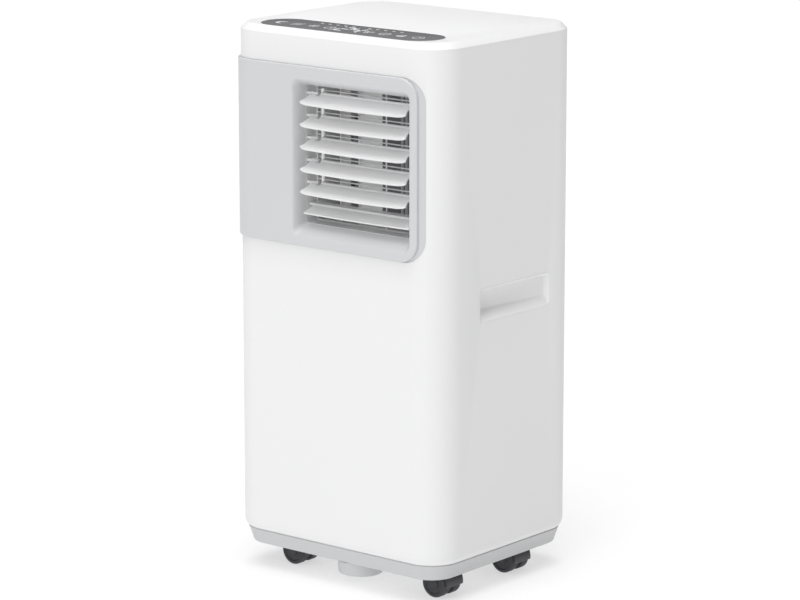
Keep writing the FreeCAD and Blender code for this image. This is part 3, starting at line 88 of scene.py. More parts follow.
@dataclass
class Skin:
    """Corners and faces of one piece, gathered patch by patch.

    Neighbouring patches repeat the corners of their shared edge, and merging them closes the seam.
    """

    corners: list[Array] = field(default_factory=list)
    faces: list[tuple[int, ...]] = field(default_factory=list)
    count: int = 0

    def patch(self, corners: Array, faces: Iterable[Sequence[int]]) -> None:
        """Add corners (n, 3) and faces that count from the patch's own first corner."""
        self.faces += [tuple(int(i) + self.count for i in face) for face in faces]
        self.corners.append(np.asarray(corners, float).reshape(-1, 3))
        self.count += len(self.corners[-1])

    def grid(self, rows: Array, wrap: bool = False) -> None:
        """Add the quads between neighbouring rows of a (rows, columns, 3) array.

        Args:
            rows: corners, row after row.
            wrap: whether the last column joins the first.
        """
        height, width = rows.shape[:2]
        index = np.arange(height * width).reshape(height, width)
        if wrap:
            index = np.concatenate([index, index[:, :1]], axis=1)
        quads = np.stack([index[:-1, :-1], index[1:, :-1], index[1:, 1:], index[:-1, 1:]], -1)
        self.patch(rows, quads.reshape(-1, 4))

    def cap(self, loop: Array) -> None:
        """Close a flat loop (n, 3) with one face."""
        self.patch(loop, [range(len(loop))])

    def join(self, other: "Skin") -> "Skin":
        """Take in another closed skin and return this one."""
        self.patch(np.concatenate(other.corners), other.faces)
        return self

    def piece(self, name: str, slot: str, stands_for: Sequence[str] = (), body: str = Body.CABINET,
              finish: "Finish | None" = None, sharp: float = 32.0) -> bpy.types.Object:
        """Make the object, merge its seams, point its faces outwards and put it on its body.

        Args:
            name: the piece's name.
            slot: its material slot in the record.
            stands_for: CAD nodes that it replaces.
            body: CAD body that it moves with.
            finish: what it is made of, if that isn't its slot's own finish.
            sharp: edges that turn by more degrees than this stay crisp.
        Returns:
            The finished object.
        """
        mesh = bpy.data.meshes.new(name)
        mesh.from_pydata(np.concatenate(self.corners).tolist(), [], self.faces)
        work = bmesh.new()
        work.from_mesh(mesh)
        bmesh.ops.remove_doubles(work, verts=work.verts, dist=MERGE)
        bmesh.ops.dissolve_degenerate(work, edges=work.edges, dist=MERGE)
        bmesh.ops.recalc_face_normals(work, faces=work.faces)
        work.to_mesh(mesh)
        work.free()
        mesh.shade_smooth()
        mesh.set_sharp_from_angle(angle=math.radians(sharp))
        mesh.materials.append((finish or SLOT_FINISH[slot]).material())
        made = bpy.data.objects.new(name, mesh)
        bpy.context.scene.collection.objects.link(made)
        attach(made, body)
        if stands_for:
            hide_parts(*stands_for)
        log.info("%s: %d faces on %s", name, len(mesh.polygons), body)
        return made


def rounded_loop(u0: float, u1: float, v0: float, v1: float, radii: float | Sequence[float],
                 stops: Sequence[float] = (), steps: int = ARC_STEPS, rungs: Sequence[float] = ()) -> Array:
    """Anticlockwise loop (n, 2) of a rectangle whose corners are quarter circles.

    Args:
        u0, u1, v0, v1: the rectangle.
        radii: one radius, or those of the corners (u1, v0), (u1, v1), (u0, v1) and (u0, v0).
        stops: extra places along u where both long edges get a corner.
        steps: stretches in each quarter circle.
        rungs: extra places along v where both upright edges get a corner.
    Returns:
        The loop's corners, without a repeated one.
    """
    four = [radii] * 4 if isinstance(radii, (int, float)) else list(radii)
    signs = [(u1, v0, -1, 1), (u1, v1, -1, -1), (u0, v1, 1, -1), (u0, v0, 1, 1)]
    turn = np.linspace(0, math.pi / 2, steps + 1)
    bands: list[Array] = []
    for quarter, ((u, v, su, sv), r) in enumerate(zip(signs, four)):
        if r > 0:
            bands.append(arc(u + su * r, v + sv * r, r, turn + (quarter - 1) * math.pi / 2))
        else:
            bands.append(np.array([[u, v]]))
        if len(stops) and quarter == 1:
            bands.append(np.array([[stop, v1] for stop in sorted(stops, reverse=True)]))
        if len(stops) and quarter == 3:
            bands.append(np.array([[stop, v0] for stop in sorted(stops)]))
        if len(rungs) and quarter in (0, 2):
            bands.append(np.array([[u, rung] for rung in sorted(rungs, reverse=quarter == 2)]))
    return np.concatenate(bands)


def circle_loop(u: float, v: float, radius: float, steps: int = 48) -> Array:
    """Anticlockwise loop of a circle."""
    return arc(u, v, radius, np.arange(steps) * TAU / steps)


def offset_loop(loop: Array, out: float) -> Array:
    """Loop moved outwards: each corner goes along the bisector of its two edges."""
    after = np.roll(loop, -1, 0) - loop
    normal = np.stack([after[:, 1], -after[:, 0]], -1) / np.linalg.norm(after, axis=1)[:, None]
    before = np.roll(normal, 1, 0)
    return loop + out * (normal + before) / (1 + (normal * before).sum(1))[:, None]


def inside(loop: Array, spots: Array) -> Array:
    """Which spots (m, 2) lie in a loop: a ray from such a spot crosses the loop an odd number of times."""
    a, b = loop[None], np.roll(loop, -1, 0)[None]
    u, v = spots[:, :1], spots[:, 1:]
    spans = (a[..., 1] > v) != (b[..., 1] > v)
    rise = np.where(b[..., 1] == a[..., 1], 1.0, b[..., 1] - a[..., 1])
    reach = a[..., 0] + (v - a[..., 1]) / rise * (b[..., 0] - a[..., 0])
    return (spans & (u < reach)).sum(1) % 2 == 1


def rolled(radius: float, steps: int = 5) -> list[tuple[float, float]]:
    """Quarter circle that rolls a face over its edge.

    Args:
        radius: its radius; 0 leaves one sharp corner.
        steps: stretches in it.
    Returns:
        From face to wall, how far each corner is drawn in from the wall, radius (1 - sin a), and
        how far it is sunk below the face, radius (1 - cos a).
    """
    turn = np.linspace(0, math.pi / 2, steps + 1) if radius else [math.pi / 2]
    return [(radius * (1 - math.sin(a)), radius * (1 - math.cos(a))) for a in turn]


def flat_region(outer: Array, holes: Sequence[Array], lines: Sequence[float] = (),
                levels: Sequence[float] = ()) -> tuple[Array, Array]:
    """Triangles of a flat region with holes, cut along upright lines and level lines.

    Args:
        outer: outline of the region.
        holes: outlines of its holes.
        lines: u values, each that of two corners of the outline, where the triangles have an edge.
        levels: v values of the same kind.
    Returns:
        Corners (n, 2) and triangles (m, 3).
    """
    loops = [outer, *holes]
    starts = np.cumsum([0] + [len(loop) for loop in loops])
    edges = [(int(s) + i, int(s) + (i + 1) % len(loop))
             for s, loop in zip(starts, loops) for i in range(len(loop))]
    for axis, values in enumerate((lines, levels)):
        for value in values:
            ends = np.flatnonzero(np.abs(outer[:, axis] - value) < MERGE)
            edges.append((int(ends[0]), int(ends[-1])))
    spots = [Vector(spot) for spot in np.concatenate(loops)]
    found = delaunay_2d_cdt(spots, edges, [], 0, 1e-7)
    corners = np.array([tuple(spot) for spot in found[0]])
    triangles = np.array([tuple(face) for face in found[2]])
    middles = corners[triangles].mean(1)
    keep = inside(outer, middles)
    for hole in holes:
        keep &= ~inside(hole, middles)
    return corners, triangles[keep]


def plate(place: Place, outer: Array, holes: Sequence[Array], front: float, back: float,
          edge: float = 0.0, back_edge: float = 0.0, lines: Sequence[float] = (), steps: int = 3,
          levels: Sequence[float] = ()) -> Skin:
    """Closed wall with holes, its edges rounded by quarter circles.

    A face at depth front and one at depth back are joined along every outline, over the rows
    that rolled() gives for each edge.

    Args:
        place: maps (n, 2) spots and a depth to (n, 3) points.
        outer: outline of the wall.
        holes: outlines of its holes.
        front, back: depths of the two faces, outwards positive.
        edge, back_edge: radii of the edges of the two faces.
        lines, levels: where a curved wall's faces are cut, see flat_region.
        steps: rows in each rounded edge.
    Returns:
        The wall.
    """
    skin = Skin()
    side = math.copysign(1.0, front - back)
    for depth, radius in ((front, edge), (back, back_edge)):
        cut_out = [offset_loop(hole, radius) for hole in holes]
        corners, triangles = flat_region(offset_loop(outer, -radius), cut_out, lines, levels)
        skin.patch(place(corners, depth), triangles)
    for loop, way in [(outer, -1.0)] + [(hole, 1.0) for hole in holes]:
        rows = [place(offset_loop(loop, way * drawn), front - side * sunk)
                for drawn, sunk in rolled(edge, steps)]
        rows += [place(offset_loop(loop, way * drawn), back + side * sunk)
                 for drawn, sunk in reversed(rolled(back_edge, steps))]
        skin.grid(np.stack(rows), wrap=True)
    return skin


def lathe(profile: Sequence[tuple[float, float]], start: Array, along: Array, steps: int = 48) -> Skin:
    """Surface of revolution: each profile point (distance along the axis, radius) sweeps a circle.

    Args:
        profile: from one end of the closed shape to the other; a radius of 0 is a pole.
        start: where distance 0 is.
        along: the axis.
        steps: stretches round the circle.
    Returns:
        The turned shape.
    """
    axis = np.asarray(along, float) / np.linalg.norm(along)
    side = np.cross(axis, [0, 0, 1.0] if abs(axis[2]) < 0.9 else [1.0, 0, 0])
    side /= np.linalg.norm(side)
    up = np.cross(axis, side)
    angle = np.arange(steps) * TAU / steps
    circle = np.cos(angle)[:, None] * side + np.sin(angle)[:, None] * up
    points = np.array(profile, float)
    rows = np.asarray(start, float) + points[:, :1, None] * axis + points[:, 1:, None] * circle
    skin = Skin()
    skin.grid(rows, wrap=True)
    return skin


def rod(radius: float, start: Sequence[float], end: Sequence[float], edge: float = 0.0,
        steps: int = 24) -> Skin:
    """Round bar between two points, its ends' edges rounded."""
    a, b = np.asarray(start, float), np.asarray(end, float)
    length = float(np.linalg.norm(b - a))
    rise = [(sunk, radius - drawn) for drawn, sunk in rolled(edge, 3)]
    fall = [(length - d, r) for d, r in reversed(rise)]
    return lathe([(0, 0), *rise, *fall, (length, 0)], a, b - a, steps)


def facing_back(y: float) -> Place:
    """Place u along x, v along z and depth out of a level of the back."""
    return lambda spots, depth: points(spots[:, 0], y + depth, spots[:, 1])


def facing_up(z: float) -> Place:
    """Place u along x, v along y and depth upwards."""
    return lambda spots, depth: points(spots[:, 0], spots[:, 1], z + depth)


def block(x0: float, x1: float, y0: float, y1: float, z0: float, z1: float, edge: float = 0.4 * MM) -> Skin:
    """Block with rounded upright edges and rounded rims."""
    loop = rounded_loop(x0, x1, y0, y1, 2 * edge, steps=3)
    return plate(facing_up(0), loop, [], z1, z0, edge, edge)


def centre_of(name: str) -> Array:
    """Middle of a CAD node's box."""
    low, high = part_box(name)
    return np.array([(low[axis] + high[axis]) / 2 for axis in range(3)])


@dataclass(frozen=True)
class Plan:
    """The casing seen from above, a rectangle with round corners, walked clockwise from mid-back.

    The walk s runs along the back to the right, down the right side, along the front to the left
    and back up the left side. The centre of the corner circle and the direction outwards are
    straight-line functions of s, and a point is that centre plus radius times the direction.
    """

    x0: float
    x1: float
    y0: float
    y1: float
    radius: float

    @property
    def half(self) -> tuple[float, float]:
        """Half the straight lengths of the front and of a side."""
        return (self.x1 - self.x0) / 2 - self.radius, (self.y1 - self.y0) / 2 - self.radius

    @property
    def knots(self) -> Array:
        """Values of s where straights and corners meet."""
        a, b = self.half
        turn = self.radius * math.pi / 2
        return np.cumsum([0, a, turn, 2 * b, turn, 2 * a, turn, 2 * b, turn, a])

    def on_front(self, x: float) -> float:
        """The walk s at x on the front."""
        return float(self.knots[4]) + self.half[0] - (x - (self.x0 + self.x1) / 2)

    def on_right(self, y: float) -> float:
        """The walk s at y on the right side."""
        return float(self.knots[2]) + self.half[1] - (y - (self.y0 + self.y1) / 2)

    def on_left(self, y: float) -> float:
        """The walk s at y on the left side."""
        return float(self.knots[6]) + self.half[1] + (y - (self.y0 + self.y1) / 2)

    def corner_lines(self, steps: int = 18) -> Array:
        """Values of s that divide all four corners."""
        k = self.knots
        return np.concatenate([np.linspace(k[i], k[i + 1], steps + 1) for i in (1, 3, 5, 7)])

    def at(self, s: Array, out: float | Array, z: float | Array) -> Array:
        """Points (n, 3) at walk s, distance out from the casing's face and height z."""
        a, b = self.half
        centre_x = np.interp(s, self.knots, [0, a, a, a, a, -a, -a, -a, -a, 0]) + (self.x0 + self.x1) / 2
        centre_y = np.interp(s, self.knots, [b, b, b, -b, -b, -b, -b, b, b, b]) + (self.y0 + self.y1) / 2
        angle = np.radians(np.interp(s, self.knots, [90, 90, 0, 0, -90, -90, -180, -180, -270, -270]))
        reach = self.radius + out
        return points(centre_x + reach * np.cos(angle), centre_y + reach * np.sin(angle), z)

    def place(self, spots: Array, depth: float) -> Array:
        """Place u along the walk, v along z and depth outwards."""
        return self.at(spots[:, 0], depth, spots[:, 1])

    def ring(self, profile: Sequence[tuple[float, float]], steps: int = 18) -> Array:
        """Rows round the whole casing, one for each (inset, height) of a profile."""
        s = self.corner_lines(steps)
        return np.stack([self.at(s, -inset, z) for inset, z in profile])

    def loop(self, inset: float, steps: int = 18) -> Array:
        """Outline (n, 2) seen from above, drawn in by inset, anticlockwise."""
        return self.at(self.corner_lines(steps), -inset, 0.0)[::-1, :2]


# --- finishes ---------------------------------------------------------------
@dataclass(frozen=True)
class Nodes:
    """Short ways to lay out a material's node tree."""

    tree: bpy.types.NodeTree
    coordinates: bpy.types.NodeSocket

    def add(self, kind: str, inputs: dict[str, object] | None = None, **settings: object) -> bpy.types.Node:
        """Add a node, set its properties and fill its inputs with numbers or links."""
        node = self.tree.nodes.new(kind)
        for name, value in settings.items():
            setattr(node, name, value)
        self.feed(node, inputs or {})
        return node

    def feed(self, node: bpy.types.Node, inputs: dict[str, object]) -> None:
        """Fill a node's inputs with numbers or links."""
        for name, value in inputs.items():
            if isinstance(value, bpy.types.NodeSocket):
                self.tree.links.new(value, node.inputs[name])
            else:
                node.inputs[name].default_value = value

    def noise(self, scale: float, detail: float = 4.0,
              stretch: Sequence[float] = (1, 1, 1)) -> bpy.types.NodeSocket:
        """Fractal noise over the piece's own space, stretched along its axes."""
        spread = self.add("ShaderNodeMapping", {"Vector": self.coordinates, "Scale": tuple(stretch)})
        return self.add("ShaderNodeTexNoise", {"Vector": spread.outputs["Vector"], "Scale": scale,
                                               "Detail": detail}).outputs["Fac"]

    def ramp(self, factor: bpy.types.NodeSocket, low: Sequence[float], high: Sequence[float],
             start: float = 0.3, stop: float = 0.7) -> bpy.types.NodeSocket:
        """Colour that goes from low to high as the factor goes from start to stop."""
        node = self.add("ShaderNodeValToRGB", {"Fac": factor})
        for element, place, colour in zip(node.color_ramp.elements, (start, stop), (low, high)):
            element.position, element.color = place, (*colour, 1.0)
        return node.outputs["Color"]

    def spread(self, factor: bpy.types.NodeSocket, low: float, high: float) -> bpy.types.NodeSocket:
        """Number that goes from low to high as the factor goes from 0.3 to 0.7."""
        inputs = {"Value": factor, "From Min": 0.3, "From Max": 0.7, "To Min": low, "To Max": high}
        return self.add("ShaderNodeMapRange", inputs).outputs["Result"]

    def bump(self, height: bpy.types.NodeSocket, depth: float,
             strength: float = 1.0) -> bpy.types.NodeSocket:
        """Normal of a surface that rises by depth where height is 1."""
        inputs = {"Height": height, "Distance": depth, "Strength": strength}
        return self.add("ShaderNodeBump", inputs).outputs["Normal"]


@dataclass(frozen=True)
class Finish:
    """What a piece is made of. Each kind of finish writes its own node tree."""

    name: str
    colour: tuple[float, float, float]

    def material(self) -> bpy.types.Material:
        """The finish's material, made once."""
        made = bpy.data.materials.get(self.name)
        if made is None:
            made = bpy.data.materials.new(self.name)
            made.use_nodes = True
            made.diffuse_color = (*self.colour, 1.0)
            tree = made.node_tree
            where = tree.nodes.new("ShaderNodeTexCoord").outputs["Object"]
            self.fill(Nodes(tree, where), tree.nodes["Principled BSDF"])
        return made

    def fill(self, nodes: Nodes, shader: bpy.types.Node) -> None:
        """Write the finish's nodes in front of the shader."""
        raise NotImplementedError

    def shade(self, amount: float) -> tuple[float, float, float]:
        """The colour times 1 + amount."""
        return tuple(min(1.0, c * (1 + amount)) for c in self.colour)


@dataclass(frozen=True)
class Plastic(Finish):
    """Moulded plastic: a fine spark-eroded grain, faint flow clouds and uneven gloss."""

    roughness: float = 0.42
    grain: float = 1400.0
    grain_depth: float = 0.02 * MM
    clouds: float = 0.006
    coat: float = 0.0
    glow: float = 0.0
    shine: float = 0.5

    def fill(self, nodes: Nodes, shader: bpy.types.Node) -> None:
        """Colour follows the slow clouds, roughness a middling noise and bump the fine grain."""
        darker, lighter = self.shade(-self.clouds), self.shade(self.clouds)
        nodes.feed(shader, {
            "Base Color": nodes.ramp(nodes.noise(5.0, 3.0), darker, lighter),
            "Roughness": nodes.spread(nodes.noise(60.0), self.roughness - 0.03, self.roughness + 0.03),
            "Normal": nodes.bump(nodes.noise(self.grain, 2.0), self.grain_depth, 0.5),
            "IOR": 1.5, "Specular IOR Level": self.shine, "Coat Weight": self.coat, "Coat Roughness": 0.08})
        # Emission in the finish's own colour; some finishes use it as painted light that lifts shade.
        if self.glow:
            nodes.feed(shader, {"Emission Color": (*self.colour, 1.0), "Emission Strength": self.glow})


@dataclass(frozen=True)
class Rubber(Finish):
    """Matt rubber or nylon: coarse grain, dust in patches and a soft sheen."""

    roughness: float = 0.6
    dust: float = 0.35

    def fill(self, nodes: Nodes, shader: bpy.types.Node) -> None:
        """Dust lightens the colour where a slow noise is high; bump comes from a fine noise."""
        patches = nodes.noise(90.0, 6.0)
        nodes.feed(shader, {
            "Base Color": nodes.ramp(patches, self.colour, self.shade(self.dust), 0.42, 0.75),
            "Roughness": nodes.spread(patches, self.roughness - 0.08, self.roughness + 0.06),
            "Normal": nodes.bump(nodes.noise(900.0, 3.0), 0.06 * MM, 0.6),
            "Sheen Weight": 0.06, "Sheen Roughness": 0.5})


@dataclass(frozen=True)
class Metal(Finish):
    """Sheet, drawn or plated metal: brushed streaks along z, spangle and stains."""

    roughness: float = 0.32
    streaks: tuple[float, float, float] = (1.0, 1.0, 0.06)
    stain: float = 0.18

    def fill(self, nodes: Nodes, shader: bpy.types.Node) -> None:
        """Stains darken the colour in slow patches; streaks drive the roughness and the bump."""
        streak = nodes.noise(420.0, 4.0, self.streaks)
        nodes.feed(shader, {
            "Base Color": nodes.ramp(nodes.noise(28.0, 6.0), self.shade(-self.stain), self.colour, 0.35, 0.6),
            "Roughness": nodes.spread(streak, self.roughness - 0.08, self.roughness + 0.1),
            "Normal": nodes.bump(streak, 0.02 * MM, 0.5), "Metallic": 1.0})


def wave_scale(pitch: float) -> float:
    """Scale of Blender's wave texture, whose waves are TAU / 20 apart at scale 1, for a pitch."""
    return TAU / pitch / 20


@dataclass(frozen=True)
class Fins(Finish):
    """Heat-exchanger core: upright aluminium fins 1.8 mm apart, seen as bright lips and gaps darkened as
    painted shade.
    """

    pitch: float = 1.8 * MM

    def fill(self, nodes: Nodes, shader: bpy.types.Node) -> None:
        """A sine wave along x gives the lips and the painted shade between them; a slow noise bends them here
        and there.
        """
        wave = nodes.add("ShaderNodeTexWave", {"Vector": nodes.coordinates, "Scale": wave_scale(self.pitch),
                                               "Distortion": 0.6, "Detail": 1.0}, bands_direction="X")
        # The ramp's dark end is painted shade in the gaps between the fins.
        nodes.feed(shader, {
            "Base Color": nodes.ramp(wave.outputs["Fac"], self.shade(-0.85), self.colour, 0.3, 0.8),
            "Roughness": nodes.spread(nodes.noise(200.0), 0.3, 0.45),
            "Normal": nodes.bump(wave.outputs["Fac"], 0.6 * MM), "Metallic": 0.9})


@dataclass(frozen=True)
class Woven(Finish):
    """Dust mesh: crossing threads 1.2 mm apart over gaps darkened as painted shade."""

    pitch: float = 1.2 * MM

    def fill(self, nodes: Nodes, shader: bpy.types.Node) -> None:
        """The larger of two sine waves, along x and along z, is the thread's height."""
        inputs = {"Vector": nodes.coordinates, "Scale": wave_scale(self.pitch)}
        waves = [nodes.add("ShaderNodeTexWave", inputs, bands_direction=way).outputs["Fac"] for way in "XZ"]
        thread = nodes.add("ShaderNodeMath", operation="MAXIMUM")
        for socket, wave in zip(thread.inputs, waves):
            nodes.tree.links.new(wave, socket)
        # The ramp's dark end is painted shade in the gaps between the threads.
        nodes.feed(shader, {
            "Base Color": nodes.ramp(thread.outputs[0], self.shade(-0.8), self.colour, 0.55, 0.9),
            "Roughness": 0.75, "Normal": nodes.bump(thread.outputs[0], 0.25 * MM)})


@dataclass(frozen=True)
class Board(Finish):
    """Circuit board: green lacquer over darker tracks laid in cells."""

    def fill(self, nodes: Nodes, shader: bpy.types.Node) -> None:
        """Cells of a square-distance Voronoi pattern stand for the copper fields."""
        cells = nodes.add("ShaderNodeTexVoronoi", {"Vector": nodes.coordinates, "Scale": 160.0},
                          distance="CHEBYCHEV").outputs["Distance"]
        nodes.feed(shader, {"Base Color": nodes.ramp(cells, self.shade(0.5), self.colour, 0.25, 0.32),
                            "Roughness": nodes.spread(nodes.noise(150.0), 0.25, 0.4),
                            "Normal": nodes.bump(cells, 0.05 * MM)})


@dataclass(frozen=True)
class Palette:
    """Every finish of the machine, and the floor's."""

    white: Finish = Plastic("white_casing_plastic", (0.87, 0.87, 0.872), 0.42, clouds=0.004, shine=0.4)
    pale: Finish = Plastic("pale_grey_frame_plastic", (0.655, 0.66, 0.672), 0.40)
    tray: Finish = Plastic("light_grey_tray_plastic", (0.60, 0.603, 0.612), 0.46)
    blade: Finish = Plastic("white_blade_plastic", (0.84, 0.842, 0.845), 0.34)
    duct: Finish = Plastic("duct_plastic", (0.62, 0.625, 0.635), 0.5, grain_depth=0.04 * MM)
    # Painted shade for the dim inside of the duct: a dark colour, lifted by a glow that is painted light.
    shade: Finish = Plastic("painted_shade_and_glow_duct_plastic", (0.20, 0.20, 0.21), 0.6, glow=0.45)
    # The tie bar's glow is painted light that lifts the shade it sits in behind the blades.
    tie: Finish = Plastic("tie_bar_painted_glow_plastic", (0.86, 0.862, 0.865), 0.34, glow=0.22)
    inner: Finish = Plastic("inner_white_plastic", (0.70, 0.70, 0.69), 0.55, clouds=0.02,
                            grain_depth=0.05 * MM)
    lens: Finish = Plastic("smoked_touch_lens", (0.185, 0.185, 0.193), 0.22, 2400.0, 0.002 * MM, shine=0.3)
    symbol: Finish = Plastic("printed_symbol_ink", (0.72, 0.725, 0.73), 0.5, glow=0.03)
    digit: Finish = Plastic("lit_digit_window", (0.85, 0.87, 0.88), 0.4, glow=0.25)
    castor: Finish = Rubber("charcoal_nylon", (0.043, 0.043, 0.049), 0.48)
    tread: Finish = Rubber("charcoal_wheel_tread", (0.038, 0.038, 0.044), 0.58)
    rubber: Finish = Rubber("black_rubber", (0.022, 0.022, 0.023), 0.7)
    # Its glow is painted light that lifts the shade on the dark parts seen deep inside the duct.
    dark: Finish = Plastic("dark_plastic_with_painted_glow", (0.055, 0.055, 0.06), 0.5, grain_depth=0.05 * MM, glow=1.0)
    mesh: Finish = Woven("grey_dust_mesh", (0.16, 0.16, 0.17))
    board: Finish = Board("green_circuit_board", (0.02, 0.12, 0.05))
    fins: Finish = Fins("aluminium_fins", (0.72, 0.73, 0.74))
    enamel: Finish = Plastic("black_enamel", (0.02, 0.02, 0.021), 0.24, 500.0, 0.08 * MM, coat=0.4)
    copper: Finish = Metal("drawn_copper", (0.76, 0.36, 0.2), 0.28, stain=0.35)
    zinc: Finish = Metal("zinc_sheet", (0.62, 0.63, 0.64), 0.38)
    steel: Finish = Metal("bright_steel", (0.66, 0.66, 0.66), 0.25)
    floor: Finish = Plastic("studio_floor", (0.40, 0.40, 0.40), 0.9, 300.0, clouds=0.0, glow=1.4)


PALETTE = Palette()
SLOT_FINISH: dict[str, Finish] = {
    "white_plastic": PALETTE.white, "pale_grey_plastic": PALETTE.pale, "grey_plastic": PALETTE.tray,
    "blade_plastic": PALETTE.blade, "duct_plastic": PALETTE.duct, "white_inner_plastic": PALETTE.inner,
    "panel_lens": PALETTE.lens, "castor_plastic": PALETTE.castor, "castor_tread": PALETTE.tread,
    "black_rubber": PALETTE.rubber, "filter_mesh": PALETTE.mesh, "dark_plastic": PALETTE.dark,
    "circuit_board": PALETTE.board, "coil_fins": PALETTE.fins, "black_enamel": PALETTE.enamel,
    "copper_pipe": PALETTE.copper, "zinc_sheet": PALETTE.zinc, "bright_steel": PALETTE.steel,
}


# --- casing and base --------------------------------------------------------
@dataclass
class Casing:
    """White casing: front shell, lid, back panel and the two hand pockets."""

    wall: float = 3.0 * MM
    chamfer: float = 8.0 * MM
    corner_radius: float = 42.0 * MM
    soft_edge: float = 1.4 * MM         # rounding of the lid's bevel
    crisp_edge: float = 0.25 * MM
    panel_gap: float = 0.3 * MM
    frame_gap: float = 0.3 * MM
    lid_plate: float = 3.5 * MM
    seat_rise: float = 1.0 * MM         # underside of the lid's rim above the shell's top
    skirt_drop: float = 7.0 * MM        # skirt that reaches down inside the shell
    recess_gap: float = 0.15 * MM       # round the control panel
    recess_ledge: float = 6.0 * MM
    recess_rim: float = 0.5 * MM
    landing: float = 16.0 * MM          # strip that a back screw bites into
    pocket_radius: float = 6.0 * MM
    pocket_rim: float = 1.6 * MM
    pocket_wall: float = 2.0 * MM
    pocket_deep: float = 15.0 * MM      # at the front end of its floor
    pocket_shallow: float = 5.0 * MM    # at the back end
    foot_height: float = 9.0 * MM       # stretch at the bottom where the wall curves in
    foot_inset: float = 4.0 * MM

    def __post_init__(self) -> None:
        """Read the places of the shell, the back panel and the lid."""
        low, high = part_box("front_shell")
        self.z0, self.z1 = low.z, high.z
        self.plan = Plan(low.x, high.x, low.y, high.y, self.corner_radius)
        self.lid_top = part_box("top_cover")[1].z

    def pocket(self, node: str, grow: float = 0.0) -> Array:
        """Outline (y, z) of a hand pocket, taken from its block behind the shell's face."""
        low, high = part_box(node)
        flange = 4.0 * MM
        return rounded_loop(low.y + flange - grow, high.y - flange + grow, low.z + flange - grow,
                            high.z - flange + grow, self.pocket_radius + grow)

    @property
    def levels(self) -> Array:
        """Heights where the curved foot of the walls is cut."""
        return (self.z0 + self.foot_height * np.array([0.12, 0.26, 0.42, 0.6, 0.8, 1.0])).round(9)

    def footed(self, place: Place) -> Place:
        """The same place with the wall's foot drawn in along a parabola."""
        def drawn_in(spots: Array, depth: float) -> Array:
            """Place spots, less the parabola's inset at their height."""
            share = np.clip(1 - (spots[:, 1] - self.z0) / self.foot_height, 0, 1)
            return place(spots, depth - self.foot_inset * share ** 2)
        return drawn_in

    def build(self, outlet: "Outlet") -> None:
        """Make every piece of the casing."""
        self.build_shell(outlet)
        self.build_lid()
        self.build_back()
        for side, name in ((1.0, "right"), (-1.0, "left")):
            self.build_pocket(name, side)

    def build_shell(self, outlet: "Outlet") -> None:
        """Front and sides in one wall that follows the plan, with holes for frame and pockets."""
        plan = self.plan
        back_low, back_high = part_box("rear_panel")
        middle = (plan.x0 + plan.x1) / 2
        first = back_high.x - middle + self.panel_gap
        last = float(plan.knots[-1]) - (middle - back_low.x) - self.panel_gap
        lines = plan.corner_lines()
        outer = rounded_loop(first, last, self.z0, self.z1, 0.0, lines, rungs=self.levels)
        holes = [outlet.flange_loop(self.frame_gap)]
        right, left = self.pocket("hand_pocket_right"), self.pocket("hand_pocket_left")
        holes.append(np.stack([[plan.on_right(y) for y in right[:, 0]], right[:, 1]], -1)[::-1])
        holes.append(np.stack([[plan.on_left(y) for y in left[:, 0]], left[:, 1]], -1))
        shell = plate(self.footed(plan.place), outer, holes, 0.0, -self.wall, self.crisp_edge,
                      lines=np.unique(lines.round(9)), levels=self.levels)
        inner = plan.y1 - self.wall
        for side, edge in ((-1, back_low.x), (1, back_high.x)):
            ends = sorted((edge - side * self.landing, edge + side * 5 * MM))
            shell.join(block(*ends, inner - self.wall, inner - 0.1 * MM,
                             self.z0 + 10.5 * MM, self.z1 - self.chamfer))
        shell.piece("front_casing", "white_plastic", ["front_shell"])

    def build_lid(self) -> None:
        """Lid: its bevel's two edges are arcs, and the flat top has the control panel's recess.

        The bevel starts with an arc that leaves the shell's face upright, runs straight at 45
        degrees, and ends with an arc that is level at the top.
        """
        r, c, z1 = self.soft_edge, self.chamfer, self.lid_top
        slope = math.pi / 4
        bend = np.linspace(0, slope, 5)
        low = [(r * (1 - math.cos(a)), self.z1 + r * math.sin(a)) for a in bend]
        high = [(c - r * math.sin(slope - a), z1 - r * (1 - math.cos(slope - a))) for a in bend]
        profile = [(0.0, self.z1), *low, *high]
        under, seat, skirt_foot = z1 - self.lid_plate, self.z1 + self.seat_rise, self.z1 - self.skirt_drop
        window_inset = c + 2 * MM
        skirt = self.wall + 0.3 * MM
        skirt_inner = skirt + 2.5 * MM
        inner = [(window_inset, under), (window_inset, seat), (skirt_inner, seat), (skirt_inner, skirt_foot),
                 (skirt, skirt_foot), (skirt, self.z1), (0.0, self.z1)]
        skin = Skin()
        skin.grid(self.plan.ring(profile), wrap=True)
        skin.grid(self.plan.ring(inner), wrap=True)
        panel_low, panel_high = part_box("control_panel")
        gap = self.recess_gap
        size = (panel_low.x - gap, panel_high.x + gap, panel_low.y - gap, panel_high.y + gap)
        radius = (size[3] - size[2]) / 2 - 0.01 * MM
        mouth = rounded_loop(*size, radius, steps=24)
        window = offset_loop(mouth, -self.recess_ledge)
        for height, loop, opening in ((z1, self.plan.loop(high[-1][0]), offset_loop(mouth, self.recess_rim)),
                                      (under, self.plan.loop(window_inset), window)):
            spots, triangles = flat_region(loop, [opening])
            skin.patch(facing_up(height)(spots, 0.0), triangles)
        rows = [facing_up(z1)(offset_loop(mouth, drawn), -sunk) for drawn, sunk in rolled(self.recess_rim, 3)]
        rows += [facing_up(height)(loop, 0.0)
                 for height, loop in ((panel_low.z, mouth), (panel_low.z, window), (under, window))]
        skin.grid(np.stack(rows), wrap=True)
        skin.piece("lid", "white_plastic", ["top_cover"], sharp=40)

